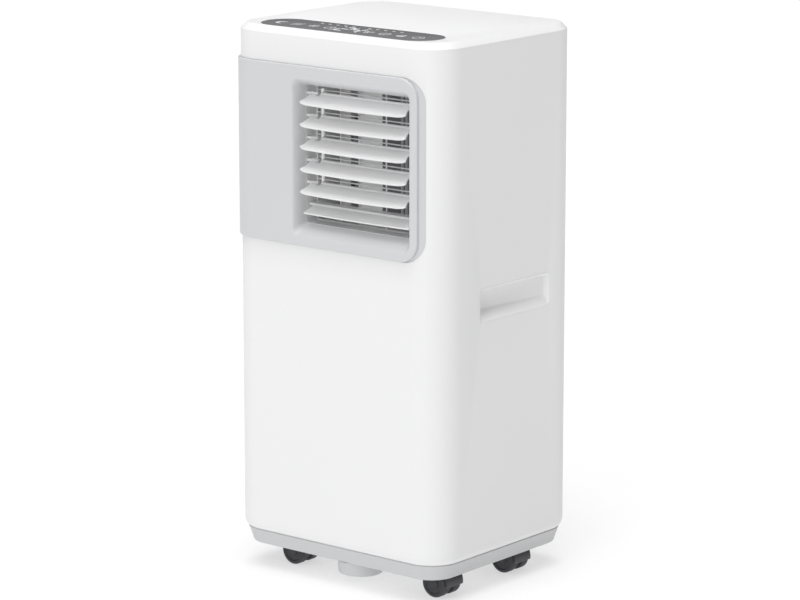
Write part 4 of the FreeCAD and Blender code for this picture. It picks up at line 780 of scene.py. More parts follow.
    def build_back(self) -> None:
        """Back panel with its filter bays, hose hole and cord hole."""
        low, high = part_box("rear_panel")
        place = self.footed(facing_back(high.y))
        holes = []
        for name in ("upper", "lower"):
            a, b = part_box(f"{name}_filter_frame")
            holes.append(rounded_loop(a.x - self.panel_gap, b.x + self.panel_gap, a.z - self.panel_gap,
                                      b.z + self.panel_gap, 6 * MM))
        for name, flange, steps in (("hose_socket", 3 * MM, 96), ("cord_gland", 2 * MM, 48)):
            a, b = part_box(name)
            x, _, z = centre_of(name)
            holes.append(circle_loop(x, z, (b.x - a.x) / 2 - flange, steps))
        outer = rounded_loop(low.x, high.x, low.z, high.z, 0.0, rungs=self.levels)
        panel = plate(place, outer, holes, 0.0, -(high.y - low.y), 0.4 * MM, levels=self.levels)
        panel.piece("back_panel", "white_plastic", ["rear_panel"])

    def build_pocket(self, name: str, side: float) -> None:
        """Hand pocket: its flush rim rolls over an arc into walls that run to a sloping floor."""
        node = f"hand_pocket_{name}"
        low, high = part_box(node)
        face = high.x if side > 0 else low.x
        outline = self.pocket(node)
        y0, y1 = outline[:, 0].min(), outline[:, 0].max()
        z0, z1 = outline[:, 1].min(), outline[:, 1].max()

        def at(loop: Array, depth: Array | float) -> Array:
            """Points of a loop (y, z) at a depth behind the side's face."""
            return points(face - side * depth, loop[:, 0], loop[:, 1])

        def slope(loop: Array) -> Array:
            """Depth of the floor, which falls in a straight line from front to back."""
            fall = self.pocket_deep - self.pocket_shallow
            return self.pocket_deep - fall * (loop[:, 0] - y0) / (y1 - y0)

        roll = np.linspace(0, math.pi / 2, 6)
        r = self.pocket_rim
        mouth = offset_loop(outline, -0.1 * MM)
        foot = rounded_loop(y0 + 3 * MM, y1 - 7 * MM, z0 + 12 * MM, z1 - 4 * MM, 4 * MM)
        rows = [at(mouth, 0.0)]
        rows += [at(offset_loop(mouth, -(0.3 * MM + r * math.sin(a))), r * (1 - math.cos(a)) * 0.8)
                 for a in roll[:-1]]
        start = rows[-1]
        end = at(foot, slope(foot))
        rows += [start + (end - start) * t for t in (0.12, 0.5, 0.88)]
        inner = offset_loop(foot, -1.2 * MM)
        rows += [end + (at(inner, slope(inner)) - end) * 0.35 + np.array([side * 0.1 * MM, 0, 0]),
                 at(inner, slope(inner))]
        skin = Skin()
        skin.grid(np.stack(rows), wrap=True)
        skin.cap(rows[-1])
        behind = at(mouth, slope(mouth) + self.pocket_wall)
        skin.grid(np.stack([rows[0], behind]), wrap=True)
        skin.cap(behind)
        skin.piece(f"hand_pocket_cup_{name}", "white_plastic", [node], sharp=50)


@dataclass
class BaseTray:
    """Drip tray under the casing: tapered band, shadow groove, castor wells and water well."""

    taper: float = 10.0 * MM
    groove_height: float = 1.5 * MM
    groove_depth: float = 1.4 * MM
    underside: float = 28.0 * MM        # height above the ground
    underside_edge: float = 2.0 * MM
    wall: float = 3.0 * MM
    well_radius: float = 38.28 * MM
    well_roof: float = 38.8 * MM
    sump_radius: float = 27.5 * MM
    sump_flare: float = 4.0 * MM
    sump_x: float = 12.0 * MM
    sump_y: float = -94.0 * MM
    stem_radius: float = 7.5 * MM
    drain_bore: float = 5.2 * MM

    def build(self, casing: Casing, castors: dict[str, "Castor"]) -> None:
        """Make the tray as one closed shell.

        Args:
            casing: gives the plan and the casing's lower edge.
            castors: the castors, by place, whose swivels are the wells' centres.
        """
        plan = casing.plan
        top = casing.z0
        seam = top - self.groove_height
        sump_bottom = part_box("base_tray")[0].z
        under, r = self.underside, self.underside_edge
        floor = under + self.wall
        foot = casing.foot_inset
        groove, skirt, skirt_top = foot + self.groove_depth, foot + 3.3 * MM, top + 10 * MM
        outside = [(self.taper + drawn, under + sunk) for drawn, sunk in rolled(r)]
        outside += [(foot + 0.9 * MM, seam - 1.2 * MM), (foot + 0.5 * MM, seam - 0.5 * MM),
                    (foot + 0.8 * MM, seam), (groove, seam), (groove, top), (skirt, top), (skirt, skirt_top)]
        inner, skirt_inner = self.taper + self.wall, skirt + 2 * MM
        inside_rows = [(skirt_inner, skirt_top), (skirt_inner, top), (inner, floor + 1 * MM), (inner, floor)]
        skin = Skin()
        skin.grid(plan.ring(outside + inside_rows), wrap=True)
        wells = [castor.swivel for castor in castors.values()]
        centre = (self.sump_x, self.sump_y)

        def rings(at: tuple[float, float], profile: Sequence[tuple[float, float]]) -> None:
            """Walls of revolution about an upright axis; a radius of 0 closes them."""
            rows = [facing_up(z)(circle_loop(*at, max(radius, MERGE / 10), 64), 0.0) for radius, z in profile]
            skin.grid(np.stack(rows), wrap=True)

        wide, roof, wall = self.well_radius, self.well_roof, self.wall
        stem, stem_top = self.stem_radius, roof + 10 * MM
        for at in wells:
            rings(at, [(wide, under), (wide, roof), (0, roof)])
            rings(at, [(wide + wall, floor), (wide + wall, roof + wall), (stem, roof + wall),
                       (stem, stem_top), (0, stem_top)])
        sump, tower, tower_top = self.sump_radius, 3 * MM, floor + 9 * MM
        flare = [(sump + drawn, under - sunk) for drawn, sunk in rolled(self.sump_flare)]
        rings(centre, flare + [(sump - 0.6 * MM, sump_bottom + 2 * MM),
                               (sump - 1.4 * MM, sump_bottom + 0.5 * MM), (sump - 2.6 * MM, sump_bottom),
                               (0, sump_bottom)])
        rings(centre, [(sump - wall, floor), (sump - wall, sump_bottom + wall), (tower, sump_bottom + wall),
                       (tower, tower_top), (0, tower_top)])
        for height, inset, grow, mouth in ((under, self.taper + r, 0.0, sump + self.sump_flare),
                                           (floor, inner, wall, sump - wall)):
            holes = [circle_loop(*at, wide + grow, 64) for at in wells] + [circle_loop(*centre, mouth, 64)]
            spots, triangles = flat_region(plan.loop(inset), holes)
            skin.patch(facing_up(height)(spots, 0.0), triangles)
        drain = centre_of("drain_plug") * [1, 0, 1]
        start, end = plan.y1 - 18 * MM, plan.y1 - 1 * MM
        bore, outer, lead = self.drain_bore, self.drain_bore + 2.3 * MM, 0.6 * MM
        length = end - start
        tube = [(0, bore), (0, outer), (length - lead, outer), (length, outer - lead), (length, bore),
                (0, bore)]
        skin.join(lathe(tube, drain + [0, start, 0], [0, 1, 0]))
        skin.piece("drip_tray", "grey_plastic", ["base_tray"], sharp=38)


# --- castors ----------------------------------------------------------------
@dataclass
class Castor:
    """Twin-wheel castor: swivelling hood with a fender over both wheels."""

    place: str
    wheel_radius: float = 17.0 * MM
    trail: float = 15.0 * MM            # axle behind the swivel
    fender_gap: float = 1.2 * MM
    fender_wall: float = 1.8 * MM
    web: float = 7.2 * MM
    first_angle: float = math.radians(-9.5)
    last_angle: float = math.radians(116.0)

    def __post_init__(self) -> None:
        """Read the axle and the swivel from the wheels' and the hood's boxes."""
        low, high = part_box(f"castor_wheel_{self.place}_a")
        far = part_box(f"castor_wheel_{self.place}_b")[1].y
        self.axle = np.array([(low.x + high.x) / 2, (low.y + far) / 2, (low.z + high.z) / 2])
        self.half = (far - low.y) / 2
        self.wheel_width = high.y - low.y
        self.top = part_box(f"castor_hood_{self.place}")[1].z
        self.swivel = (float(self.axle[0]) - self.trail, float(self.axle[1]))

    def build(self) -> None:
        """Make the hood and both wheels."""
        self.build_hood()
        for side, letter in ((-1.0, "a"), (1.0, "b")):
            self.build_wheel(side, letter)

    def fender(self) -> Skin:
        """Mudguard: an arc about the axle swept across both wheels, its four edges rolled."""
        inner = self.wheel_radius + self.fender_gap
        middle, half_wall = inner + self.fender_wall / 2, self.fender_wall / 2
        edge = 0.06
        turn = np.linspace(0, math.pi / 2, 5)
        ends = edge * (1 - np.cos(turn))
        share = np.concatenate([ends, np.linspace(edge, 1 - edge, 19)[1:-1], 1 - ends[::-1]])
        rise = np.concatenate([np.sin(turn), np.ones(17), np.sin(turn[::-1])])
        angle = self.first_angle + (self.last_angle - self.first_angle) * share
        across = (2 * share - 1) * self.half
        skin = Skin()
        for way in (-1, 1):
            radius = middle + way * half_wall * rise[:, None] * rise[None, :]
            skin.grid(points(self.axle[0] + radius * np.cos(angle)[:, None], self.axle[1] + across,
                             self.axle[2] + radius * np.sin(angle)[:, None]))
        return skin

    def build_hood(self) -> None:
        """Fender, web between the wheels, round head and the stub axles."""
        skin = self.fender()
        inner = self.wheel_radius - 3 * MM
        outer = self.wheel_radius + self.fender_gap + self.fender_wall * 0.7
        sector = np.linspace(self.first_angle, self.last_angle, 20)
        rest = np.linspace(self.last_angle, self.first_angle + TAU, 26)[1:-1]
        x, _, z = self.axle
        outline = np.concatenate([arc(x, z, outer, sector), arc(x, z, inner, rest)])

        def across(spots: Array, depth: float) -> Array:
            """Place u along x, v along z and depth across the wheels."""
            return points(spots[:, 0], self.axle[1] + depth, spots[:, 1])

        skin.join(plate(across, outline, [], self.web / 2, -self.web / 2, 0.5 * MM, 0.5 * MM, steps=2))
        x, y = self.swivel
        head = np.array([(0, 0), (0, 8.2), (1.6, 9.8), (9, 10), (9.8, 13.1), (10.3, 13.5), (11.6, 13.5),
                         (12, 13.1), (12, 0)]) * MM
        skin.join(lathe(head, [x, y, self.top - head[-1, 0]], [0, 0, 1], 40))
        skin.join(block(x - 6 * MM, float(self.axle[0]), y - self.web / 2, y + self.web / 2,
                        float(self.axle[2]), self.top - 4 * MM, 0.8 * MM))
        reach = self.half - 1 * MM
        skin.join(rod(2.5 * MM, self.axle - [0, reach, 0], self.axle + [0, reach, 0], 0.5 * MM))
        skin.piece(f"castor_fork_{self.place}", "castor_plastic", [f"castor_hood_{self.place}"],
                   f"castor_{self.place}")

    def build_wheel(self, side: float, letter: str) -> None:
        """Wheel turned from one profile: bore, dished side with a hub, rolled rim and grooved tread."""
        r, width = self.wheel_radius, self.wheel_width
        inner_rim = [(sunk, r - drawn) for drawn, sunk in rolled(2.0 * MM, 4)]
        outer_rim = [(width - d, radius) for d, radius in reversed(inner_rim)]
        tread = []
        for share in (0.36, 0.64):
            middle = share * width
            tread += [(middle - 0.45 * MM, r), (middle - 0.25 * MM, r - 0.5 * MM),
                      (middle + 0.25 * MM, r - 0.5 * MM), (middle + 0.45 * MM, r)]
        dish = [(width, 13.6 * MM), (width - 0.3 * MM, 13.1 * MM), (width - 1.4 * MM, 12.4 * MM),
                (width - 1.5 * MM, 6.4 * MM), (width - 0.2 * MM, 5.6 * MM), (width, 5.0 * MM), (width, 0)]
        bore = [(width - 0.8 * MM, 0), (width - 0.8 * MM, 2.55 * MM), (0, 2.55 * MM)]
        start = self.axle + [0, side * (self.half - width), 0]
        wheel = lathe([*bore, *inner_rim, *tread, *outer_rim, *dish], start, [0, side, 0], 56)
        wheel.piece(f"castor_roller_{self.place}_{letter}", "castor_tread",
                    [f"castor_wheel_{self.place}_{letter}"], f"wheel_{self.place}_{letter}", sharp=30)


# --- outlet -----------------------------------------------------------------
@dataclass
class Outlet:
    """Grey frame round the air outlet, its funnel, the louvre blades, their link bar and the fixed lip."""

    plan: Plan
    proud: float = 3.2 * MM
    wall: float = 3.0 * MM
    step: float = 9.0 * MM              # lower flange beyond each end of the raised face
    flange_sunk: float = 0.8 * MM
    corner_radius: float = 24.0 * MM
    face_edge: float = 1.8 * MM
    mouth_radius: float = 8.0 * MM
    funnel_depth: float = 20.0 * MM
    side_run: float = 4.0 * MM
    top_run: float = 7.0 * MM
    bottom_run: float = 11.0 * MM
    duct_wall: float = 2.0 * MM
    blades: int = 5
    tilt: float = math.radians(26.0)
    chord: float = 25.5 * MM
    blade_thickness: float = 2.4 * MM
    blade_edge: float = 0.9 * MM
    arm: float = 6.0 * MM
    link_size: float = 3.0 * MM
    link_gap: float = 0.9 * MM          # between the link bar and the blade's slot
    blade_rear: float = 1.6 * MM        # blade behind its axis
    slot_depth: float = 5.6 * MM        # slot for the link bar, in front of the axis
    lug_inset: float = 3.5 * MM         # hinge lug short of the blade's tip
    mouth_soft: float = 4.6 * MM        # rounding of the funnel's mouth
    snap_inset: float = 4.5 * MM        # snap rim behind the flange, beyond its edge
    snap_depth: float = 1.5 * MM
    lip_tilt: float = math.radians(20.0)
    lip_depth: float = 30.0 * MM
    lip_bow: float = 1.2 * MM
    rib_inset: float = 59.0 * MM        # guard's upright rib from the duct's right wall
    wire: float = 0.8 * MM              # radius of the guard's wires
    vane_pitch: float = 6.5 * MM
    vane_run: float = 46.0 * MM         # width of the row of vanes

    def __post_init__(self) -> None:
        """Read the frame's ends, the duct's walls and the blades' axes."""
        low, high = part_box("outlet_frame")
        lip = 5.0 * MM
        self.z0, self.z1 = low.z + lip, high.z - lip
        self.x1 = high.x - lip - self.step
        self.y1 = high.y - lip - self.step
        duct_low, duct_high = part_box("outlet_duct")
        self.duct = (duct_low.x + self.duct_wall, duct_high.x - self.duct_wall,
                     duct_low.z + self.duct_wall, duct_high.z - self.duct_wall)
        self.duct_start, self.duct_end = duct_low.y, duct_high.y
        self.face = self.plan.y0 - self.proud
        self.axes = []
        for index in range(self.blades):
            a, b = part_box(f"louvre_blade_{index + 1}")
            reach = self.chord * math.sin(self.tilt) + self.blade_thickness / 2 * math.cos(self.tilt)
            self.axes.append(np.array([(a.x + b.x) / 2, self.duct_start + 3.6 * MM, a.z + reach]))
        self.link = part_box("louvre_link")
        self.link_x = (self.link[0].x + self.link[1].x) / 2

    def band(self, end: float, grow: float, radius: float) -> Array:
        """Outline (walk, z) of the frame: along the front, round the left corner and back along the side.

        Args:
            end: how far both ends reach past the raised face's.
            grow: how much wider the outline is all round.
            radius: radius of the four corners.
        """
        knots = self.plan.knots
        first, last = self.plan.on_front(self.x1 + end) - grow, self.plan.on_left(self.y1 + end) + grow
        stops = np.linspace(knots[5], knots[6], 19).round(9)
        return rounded_loop(first, last, self.z0 - grow, self.z1 + grow, radius + grow, stops)

    def flange_loop(self, grow: float) -> Array:
        """Outline of the frame with its flange, for the casing's hole."""
        return self.band(self.step, grow, self.corner_radius + self.step / 2)

    def mouth(self, share: float) -> Array:
        """Outline (x, z) of the funnel; share is 0 at the frame's face and 1 at the duct."""
        x0, x1, z0, z1 = self.duct
        back = 1 - share
        return rounded_loop(x0 - self.side_run * back, x1 + self.side_run * back, z0 - self.bottom_run * back,
                            z1 + self.top_run * back, self.mouth_radius * (1 - 0.6 * share))

    def build(self) -> None:
        """Make every piece of the outlet."""
        self.build_frame()
        for index in range(self.blades):
            self.build_blade(index)
        self.build_link()
        self.build_lip()
        self.build_guard()
        self.build_splitter()

    def build_frame(self) -> None:
        """Raised band with rolled edges, lower flange, and the funnel with its soft mouth.

        The funnel's rows lie on straight lines from mouth to duct, after a first stretch where an
        arc turns the face into the funnel's wall.
        """
        plan, r = self.plan, self.face_edge
        outer = self.band(0.0, 0.0, self.corner_radius)
        soft = self.mouth_soft
        mouth = self.mouth(0.0)
        hole = np.stack([[plan.on_front(x) for x in mouth[:, 0]], mouth[:, 1]], -1)[::-1]
        opened = offset_loop(hole, soft)
        lines = np.linspace(plan.knots[5], plan.knots[6], 19).round(9)
        skin = Skin()
        spots, triangles = flat_region(offset_loop(outer, -r), [opened], lines)
        skin.patch(plan.place(spots, self.proud), triangles)
        rows = [plan.place(offset_loop(outer, -drawn), self.proud - sunk) for drawn, sunk in rolled(r)]
        rows += [plan.place(outer, -self.flange_sunk + 0.1 * MM), plan.place(outer, -self.flange_sunk)]
        flange = self.band(self.step, 0.2 * MM, self.corner_radius + self.step / 2)
        rows += [plan.place(offset_loop(flange, -drawn), -self.flange_sunk - sunk)
                 for drawn, sunk in rolled(0.4 * MM)[::2]]
        snap, snap_back = offset_loop(flange, self.snap_inset), -self.wall - self.snap_depth
        rows += [plan.place(flange, -self.wall), plan.place(snap, -self.wall - 0.02 * MM),
                 plan.place(snap, snap_back)]
        skin.grid(np.stack(rows), wrap=True)
        turn = math.pi / 2 - math.atan2(self.top_run, self.funnel_depth)
        throat = []
        for angle in np.linspace(0, turn, 7):
            depth = soft * (1 - math.cos(angle)) * 0.9
            throat.append(plan.place(offset_loop(hole, soft * (1 - math.sin(angle))), self.proud - depth))
        throat += [facing_back(self.face + self.funnel_depth * share)(self.mouth(share)[::-1], 0.0)
                   for share in (0.3, 0.6, 0.85, 1.0)]
        outside = offset_loop(self.mouth(1.0), self.duct_wall)[::-1]
        shell = offset_loop(self.mouth(0.35), self.duct_wall)[::-1]
        throat += [facing_back(self.duct_start)(outside, 0.0), facing_back(plan.y0 - snap_back)(shell, 0.0)]
        skin.grid(np.stack(throat), wrap=True)
        back_hole = np.stack([[plan.on_front(x) for x in shell[:, 0]], shell[:, 1]], -1)
        spots, triangles = flat_region(snap, [back_hole], lines)
        skin.patch(plan.place(spots, snap_back), triangles)
        skin.piece("outlet_surround", "pale_grey_plastic", ["outlet_frame"], sharp=42)

    def blade_outline(self, span: float) -> Array:
        """Plan of a blade about its axis, u along x and v backwards, anticlockwise.

        The front edge is a shallow parabola, each tip a quarter ellipse that starts at three
        quarters of the chord, and each end widens along a power curve from the hinge lug.
        """
        c, tip = self.chord, span / 2
        root = tip - self.lug_inset
        notch = self.link_x - self.axes[0][0]
        gap = self.link_size / 2 + self.link_gap
        hollow_v = np.linspace(-0.28 * c, -0.74 * c, 10)
        share = np.linspace(0, 1, 10)
        hollow = root - 0.4 * MM * np.sin(math.pi * share) + (tip - root) * share ** 1.5
        turn = np.linspace(0, math.pi / 2, 12)[1:]
        round_u = tip - 15 * MM * (1 - np.cos(turn))
        round_v = -0.74 * c - (0.26 * c - 1.3 * MM) * np.sin(turn)
        across = np.linspace(1, -1, 25)[1:-1] * round_u[-1]
        bow = -c + 1.3 * MM * (across / round_u[-1]) ** 2
        right = np.concatenate([np.stack([hollow, hollow_v], -1), np.stack([round_u, round_v], -1)])
        left = right[::-1] * [-1, 1]
        rear, deep = self.blade_rear, -self.slot_depth
        back = np.array([[-root, rear], [notch - gap, rear], [notch - gap, deep], [notch + gap, deep],
                         [notch + gap, rear], [root, rear]])
        loop = np.concatenate([right, np.stack([across, bow], -1), left, back])
        return loop[::-1]

    def build_blade(self, index: int) -> None:
        """Blade: a thin plate with rolled edges, hinge barrel, end pins, slot bridge and the link's arm."""
        axis = self.axes[index]
        c, s = math.cos(self.tilt), math.sin(self.tilt)
        span = self.duct[1] - self.duct[0] - 6 * MM
        root = span / 2 - self.lug_inset
        notch = self.link_x - axis[0]

        def place(spots: Array, depth: float) -> Array:
            """Turn the blade's plan by the tilt about its axis: back edge up, front edge down."""
            v = spots[:, 1]
            return points(axis[0] + spots[:, 0], axis[1] + v * c - depth * s, axis[2] + v * s + depth * c)

        half = self.blade_thickness / 2
        edge = self.blade_edge
        skin = plate(place, self.blade_outline(span), [], half, -half, edge, edge, steps=4)

        def point(u: float, v: float = 0.0) -> Array:
            """A point of the blade's own middle plane."""
            return place(np.array([[u, v]]), 0.0)[0]

        gap = self.link_size / 2 + self.link_gap
        half_duct = (self.duct[1] - self.duct[0]) / 2
        outside, pin_start = half_duct + self.duct_wall, root - 2 * MM
        bridge, bridge_v = gap + 2 * MM, -self.slot_depth - 0.8 * MM
        for radius, start, end, edge in ((2.3 * MM, point(-root), point(notch - gap), 0.5 * MM),
                                         (2.3 * MM, point(notch + gap), point(root), 0.5 * MM),
                                         (1.8 * MM, point(-outside), point(-pin_start), 0.3 * MM),
                                         (1.8 * MM, point(pin_start), point(outside), 0.3 * MM),
                                         (1.2 * MM, point(notch - bridge, bridge_v),
                                          point(notch + bridge, bridge_v), 0.0)):
            skin.join(rod(radius, start, end, edge))
        lug = rounded_loop(-1.0 * MM, self.arm + 1.8 * MM, -1.7 * MM, 1.7 * MM, 1.5 * MM, steps=5)
        start = notch + self.link_size / 2 + 0.6 * MM

        def beside(spots: Array, depth: float) -> Array:
            """Place u backwards, v upwards and depth along x, all turned by the tilt."""
            u, v = spots[:, 0], spots[:, 1]
            return points(axis[0] + start + depth, axis[1] + u * c - v * s, axis[2] + u * s + v * c)

        skin.join(plate(beside, lug, [], 2.0 * MM, 0.0, 0.3 * MM, 0.3 * MM, steps=2))
        skin.join(rod(1.1 * MM, point(notch - self.link_size / 2 - 1 * MM, self.arm),
                      point(start + 1 * MM, self.arm), 0.3 * MM))
        skin.piece(f"louvre_vane_{index + 1}", "blade_plastic", [f"louvre_blade_{index + 1}"],
                   f"louvre_{index + 1}", sharp=36)

    def build_link(self) -> None:
        """Upright bar that ties the blades together."""
        low, high = self.link
        # The bar's finish glows as painted light that lifts its shade behind the blades.
        block(low.x, high.x, low.y, high.y, low.z, high.z, 0.5 * MM).piece(
            "louvre_tie_bar", "blade_plastic", ["louvre_link"], Body.LINK, PALETTE.tie)

    def build_lip(self) -> None:
        """Fixed lip under the last blade: a plate rising to the back, its front edge bowed and rolled."""
        low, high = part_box("outlet_lip")
        x0, x1, depth = low.x + 5.5 * MM, high.x - 1 * MM, self.lip_depth
        c, s = math.cos(self.lip_tilt), math.sin(self.lip_tilt)
        across = np.linspace(0, 1, 25)
        bow = self.lip_bow * (2 * across - 1) ** 2
        front = np.stack([x0 + (x1 - x0) * across, bow], -1)
        outline = np.concatenate([front, [[x1, depth], [x0, depth]]])

        def place(spots: Array, out: float) -> Array:
            """Raise the plate by its tilt from the front edge."""
            v = spots[:, 1]
            return points(spots[:, 0], low.y + 0.7 * MM + v * c - out * s, low.z + v * s + out * c)

        skin = plate(place, outline, [], 2.0 * MM, 0.0, 0.8 * MM, 0.8 * MM)
        skin.join(block(low.x, high.x, self.duct_start + 6 * MM, self.duct_start + 14 * MM,
                        high.z - 4 * MM, high.z - 1 * MM))
        skin.piece("outlet_fixed_lip", "blade_plastic", ["outlet_lip"])

    def build_guard(self) -> None:
        """Guard: a thin frame with one level wire behind each blade and one upright rib."""
        low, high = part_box("guard_grille")
        y0, y1 = low.y + 0.4 * MM, high.y
        outer = rounded_loop(low.x, high.x, low.z, high.z, 1.0 * MM, steps=3)
        inner = offset_loop(outer, -2.0 * MM)
        skin = plate(facing_back(0.0), outer, [inner], y1, y0, 0.3 * MM, 0.3 * MM, steps=2)
        middle, wire = (y0 + y1) / 2, self.wire
        for axis in self.axes:
            z = float(axis[2]) + 2 * MM
            skin.join(rod(wire, (low.x + 1 * MM, middle, z), (high.x - 1 * MM, middle, z), steps=12))
        rib = self.duct[1] - self.rib_inset
        skin.join(block(rib - wire, rib + wire, low.y, y1, low.z + 1 * MM, high.z - 1 * MM, 0.3 * MM))
        skin.piece("outlet_guard", "duct_plastic", ["guard_grille"], finish=PALETTE.blade)

    def build_splitter(self) -> None:
        """Two curved guides and a row of upright vanes in the duct; each guide's plan is a parabola."""
        x0, x1, z0, z1 = self.duct
        top, foot = z1 - 0.1 * MM, z0 + 0.1 * MM
        start, reach = self.duct_start + 21.5 * MM, self.duct_end - self.duct_start - 22 * MM
        turn = np.linspace(0, 1, 14)
        for name, x, lean in (("left", x0 + 34 * MM, 4 * MM), ("middle", x0 + 62 * MM, 24 * MM)):
            line = np.stack([x + lean * turn ** 2, start + reach * turn], -1)
            outline = np.concatenate([line, line[::-1] + [1.6 * MM, 0.0]])
            plate(facing_up(0.0), outline, [], top, foot, 0.3 * MM, 0.3 * MM, steps=2).piece(
                f"duct_guide_{name}", "duct_plastic")
        vanes = Skin()
        for x in np.arange(x1 - self.vane_run, x1 - 2 * MM, self.vane_pitch):
            vanes.join(block(x - 0.7 * MM, x + 0.7 * MM, start + reach * 0.7, start + reach, foot, top,
                             0.3 * MM))
        # The vanes carry painted shade: a dark colour, lifted by a glow of painted light.
        vanes.piece("duct_vanes", "duct_plastic", finish=PALETTE.shade)


# --- control panel ----------------------------------------------------------
@dataclass
class ControlPanel:
    """Smoked touch lens with printed symbols, a row of indicator dots and two lit digits."""

    sunk: float = 0.05 * MM             # lens below the printing
    edge: float = 0.5 * MM
    symbol_radius: float = 7.5 * MM
    stroke: float = 1.3 * MM
    first_key: float = 29.0 * MM
    spacing: float = 24.7 * MM
    key_row: float = 5.0 * MM           # symbols' centres in front of the lens's middle
    digit_height: float = 25.0 * MM
    digit_row: float = 2.0 * MM
    digit_slant: float = 0.12
    segment: float = 2.6 * MM           # width of a digit's segment
    dots: int = 11
    dot_pitch: float = 12.0 * MM
    dot_row: float = 18.0 * MM          # dots' centres behind the lens's middle
    dot_size: tuple[float, float] = (5.0 * MM, 3.0 * MM)
    mark_spot: tuple[float, float] = (18.5 * MM, 14.0 * MM)
    mark_length: float = 6.0 * MM

    def __post_init__(self) -> None:
        """Read the lens's box."""
        self.low, self.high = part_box("control_panel")
        self.x = (self.low.x + self.high.x) / 2
        self.y = (self.low.y + self.high.y) / 2

    def build(self) -> None:
        """Make the lens, the symbols, the dots and the digits."""
        low, high = self.low, self.high
        radius = (high.y - low.y) / 2 - 0.01 * MM
        outline = rounded_loop(low.x, high.x, low.y, high.y, radius, steps=24)
        plate(facing_up(0.0), outline, [], high.z - self.sunk, low.z, self.edge).piece(
            "touch_lens", "panel_lens", ["control_panel"])
        self.build_symbols()
        self.build_digits()

    def printed(self, outline: Array, holes: Sequence[Array] = ()) -> Skin:
        """Thin printed shape on the lens."""
        return plate(facing_up(0.0), outline, holes, self.high.z, self.high.z - 2 * self.sunk)

    def ring(self, x: float, y: float, radius: float) -> Skin:
        """Printed circle line."""
        return self.printed(circle_loop(x, y, radius, 40), [circle_loop(x, y, radius - self.stroke, 40)])

    def bar(self, x: float, y: float, length: float, angle: float, width: float | None = None) -> Skin:
        """Printed stroke centred on a point."""
        w = self.stroke if width is None else width
        loop = rounded_loop(-length / 2, length / 2, -w / 2, w / 2, w * 0.49, steps=4)
        turn = np.array([[math.cos(angle), math.sin(angle)], [-math.sin(angle), math.cos(angle)]])
        return self.printed(loop @ turn + [x, y])

    def spokes(self, x: float, y: float, reach: float, length: float, angles: Iterable[float],
               across: float = 0.0) -> list[Skin]:
        """Strokes whose middles lie on a circle, each turned by across from pointing outwards."""
        return [self.bar(x + reach * math.cos(a), y + reach * math.sin(a), length, a + across)
                for a in angles]

    def symbol(self, name: str, x: float, y: float) -> list[Skin]:
        """Rings and strokes of one touch symbol round its key's centre."""
        r = self.symbol_radius
        third, arm = np.arange(3), r * 0.62
        outer_turn, inner_turn = np.linspace(0.35, TAU - 0.35, 28), np.linspace(TAU - 0.62, 0.62, 24)
        if name == "timer":
            return [self.ring(x, y, r), self.bar(x, y + r * 0.3, r * 0.6, math.pi / 2),
                    self.bar(x + r * 0.2, y, r * 0.5, 0.0)]
        if name == "snow":
            return [self.bar(x, y, 2 * r, math.pi * k / 3) for k in third] + self.spokes(
                x, y, arm, r * 0.6, np.arange(6) * math.pi / 3, math.pi / 2)
        if name == "swing":
            return [self.bar(x, y + (k - 1) * r * 0.6, 2 * r, math.radians(12)) for k in third]
        if name == "sleep":
            outside, within = arc(x, y, r, outer_turn), arc(x + r * 0.38, y, r * 0.75, inner_turn)
            return [self.printed(np.concatenate([outside, within]))]
        if name == "speed":
            petals = arc(x, y, arm, third * TAU / 3 + 0.5)
            return [self.ring(x, y, r * 0.3)] + [self.ring(u, v, r * 0.38) for u, v in petals]
        if name == "mode":
            quarters = np.arange(4) * math.pi / 2 + 0.4
            return [self.ring(x, y, r)] + self.spokes(x, y, r * 0.5, r * 0.5, quarters)
        if name == "lock":
            return [self.bar(x, y - r * 0.3, 1.5 * r, 0.0, r), self.ring(x, y + r * 0.35, r * 0.55)]
        return [self.ring(x, y, r), self.bar(x, y + r * 0.55, r * 0.9, math.pi / 2, 1.2 * MM)]

    def build_symbols(self) -> None:
        """Eight touch symbols, four on each side of the digits, and the row of dots."""
        keys = [side * (self.first_key + self.spacing * step) for side in (-1, 1) for step in range(4)]
        for name, offset in zip(("timer", "snow", "swing", "sleep", "speed", "mode", "lock", "power"), keys):
            whole = Skin()
            for part in self.symbol(name, self.x + offset, self.y - self.key_row):
                whole.join(part)
            whole.piece(f"touch_symbol_{name}", "panel_lens", finish=PALETTE.symbol)
        dots = Skin()
        length, width = self.dot_size
        for step in range(-(self.dots // 2), self.dots // 2 + 1):
            if step:
                dots.join(self.bar(self.x + step * self.dot_pitch, self.y + self.dot_row, length, 0.0, width))
        dots.piece("indicator_dots", "panel_lens", finish=PALETTE.symbol)

    def build_digits(self) -> None:
        """Two seven-segment digits, a 2 and a 4, between four corner marks."""
        h, row = self.digit_height, self.y - self.digit_row
        w = h * 0.52
        lit = {"2": "abged", "4": "fgbc"}
        places = {"a": (0, h / 2, 0), "g": (0, 0, 0), "d": (0, -h / 2, 0), "b": (w / 2, h / 4, 1),
                  "f": (-w / 2, h / 4, 1), "c": (w / 2, -h / 4, 1), "e": (-w / 2, -h / 4, 1)}
        skin = Skin()
        for shift, digit in ((-0.36, "2"), (0.36, "4")):
            for segment in lit[digit]:
                u, v, upright = places[segment]
                length = (h / 2 if upright else w) - 2.0 * MM
                skin.join(self.bar(self.x + shift * h + u + v * self.digit_slant, row + v, length,
                                   math.pi / 2 - self.digit_slant if upright else 0.0, self.segment))
        skin.piece("lit_digits", "panel_lens", finish=PALETTE.digit)
        marks = Skin()
        for u, v in ((-1, 1), (1, 1), (-1, -1), (1, -1)):
            marks.join(self.bar(self.x + u * self.mark_spot[0], row + v * self.mark_spot[1],
                                self.mark_length, 0.5 * u * v))
        marks.piece("display_marks", "panel_lens", finish=PALETTE.symbol)


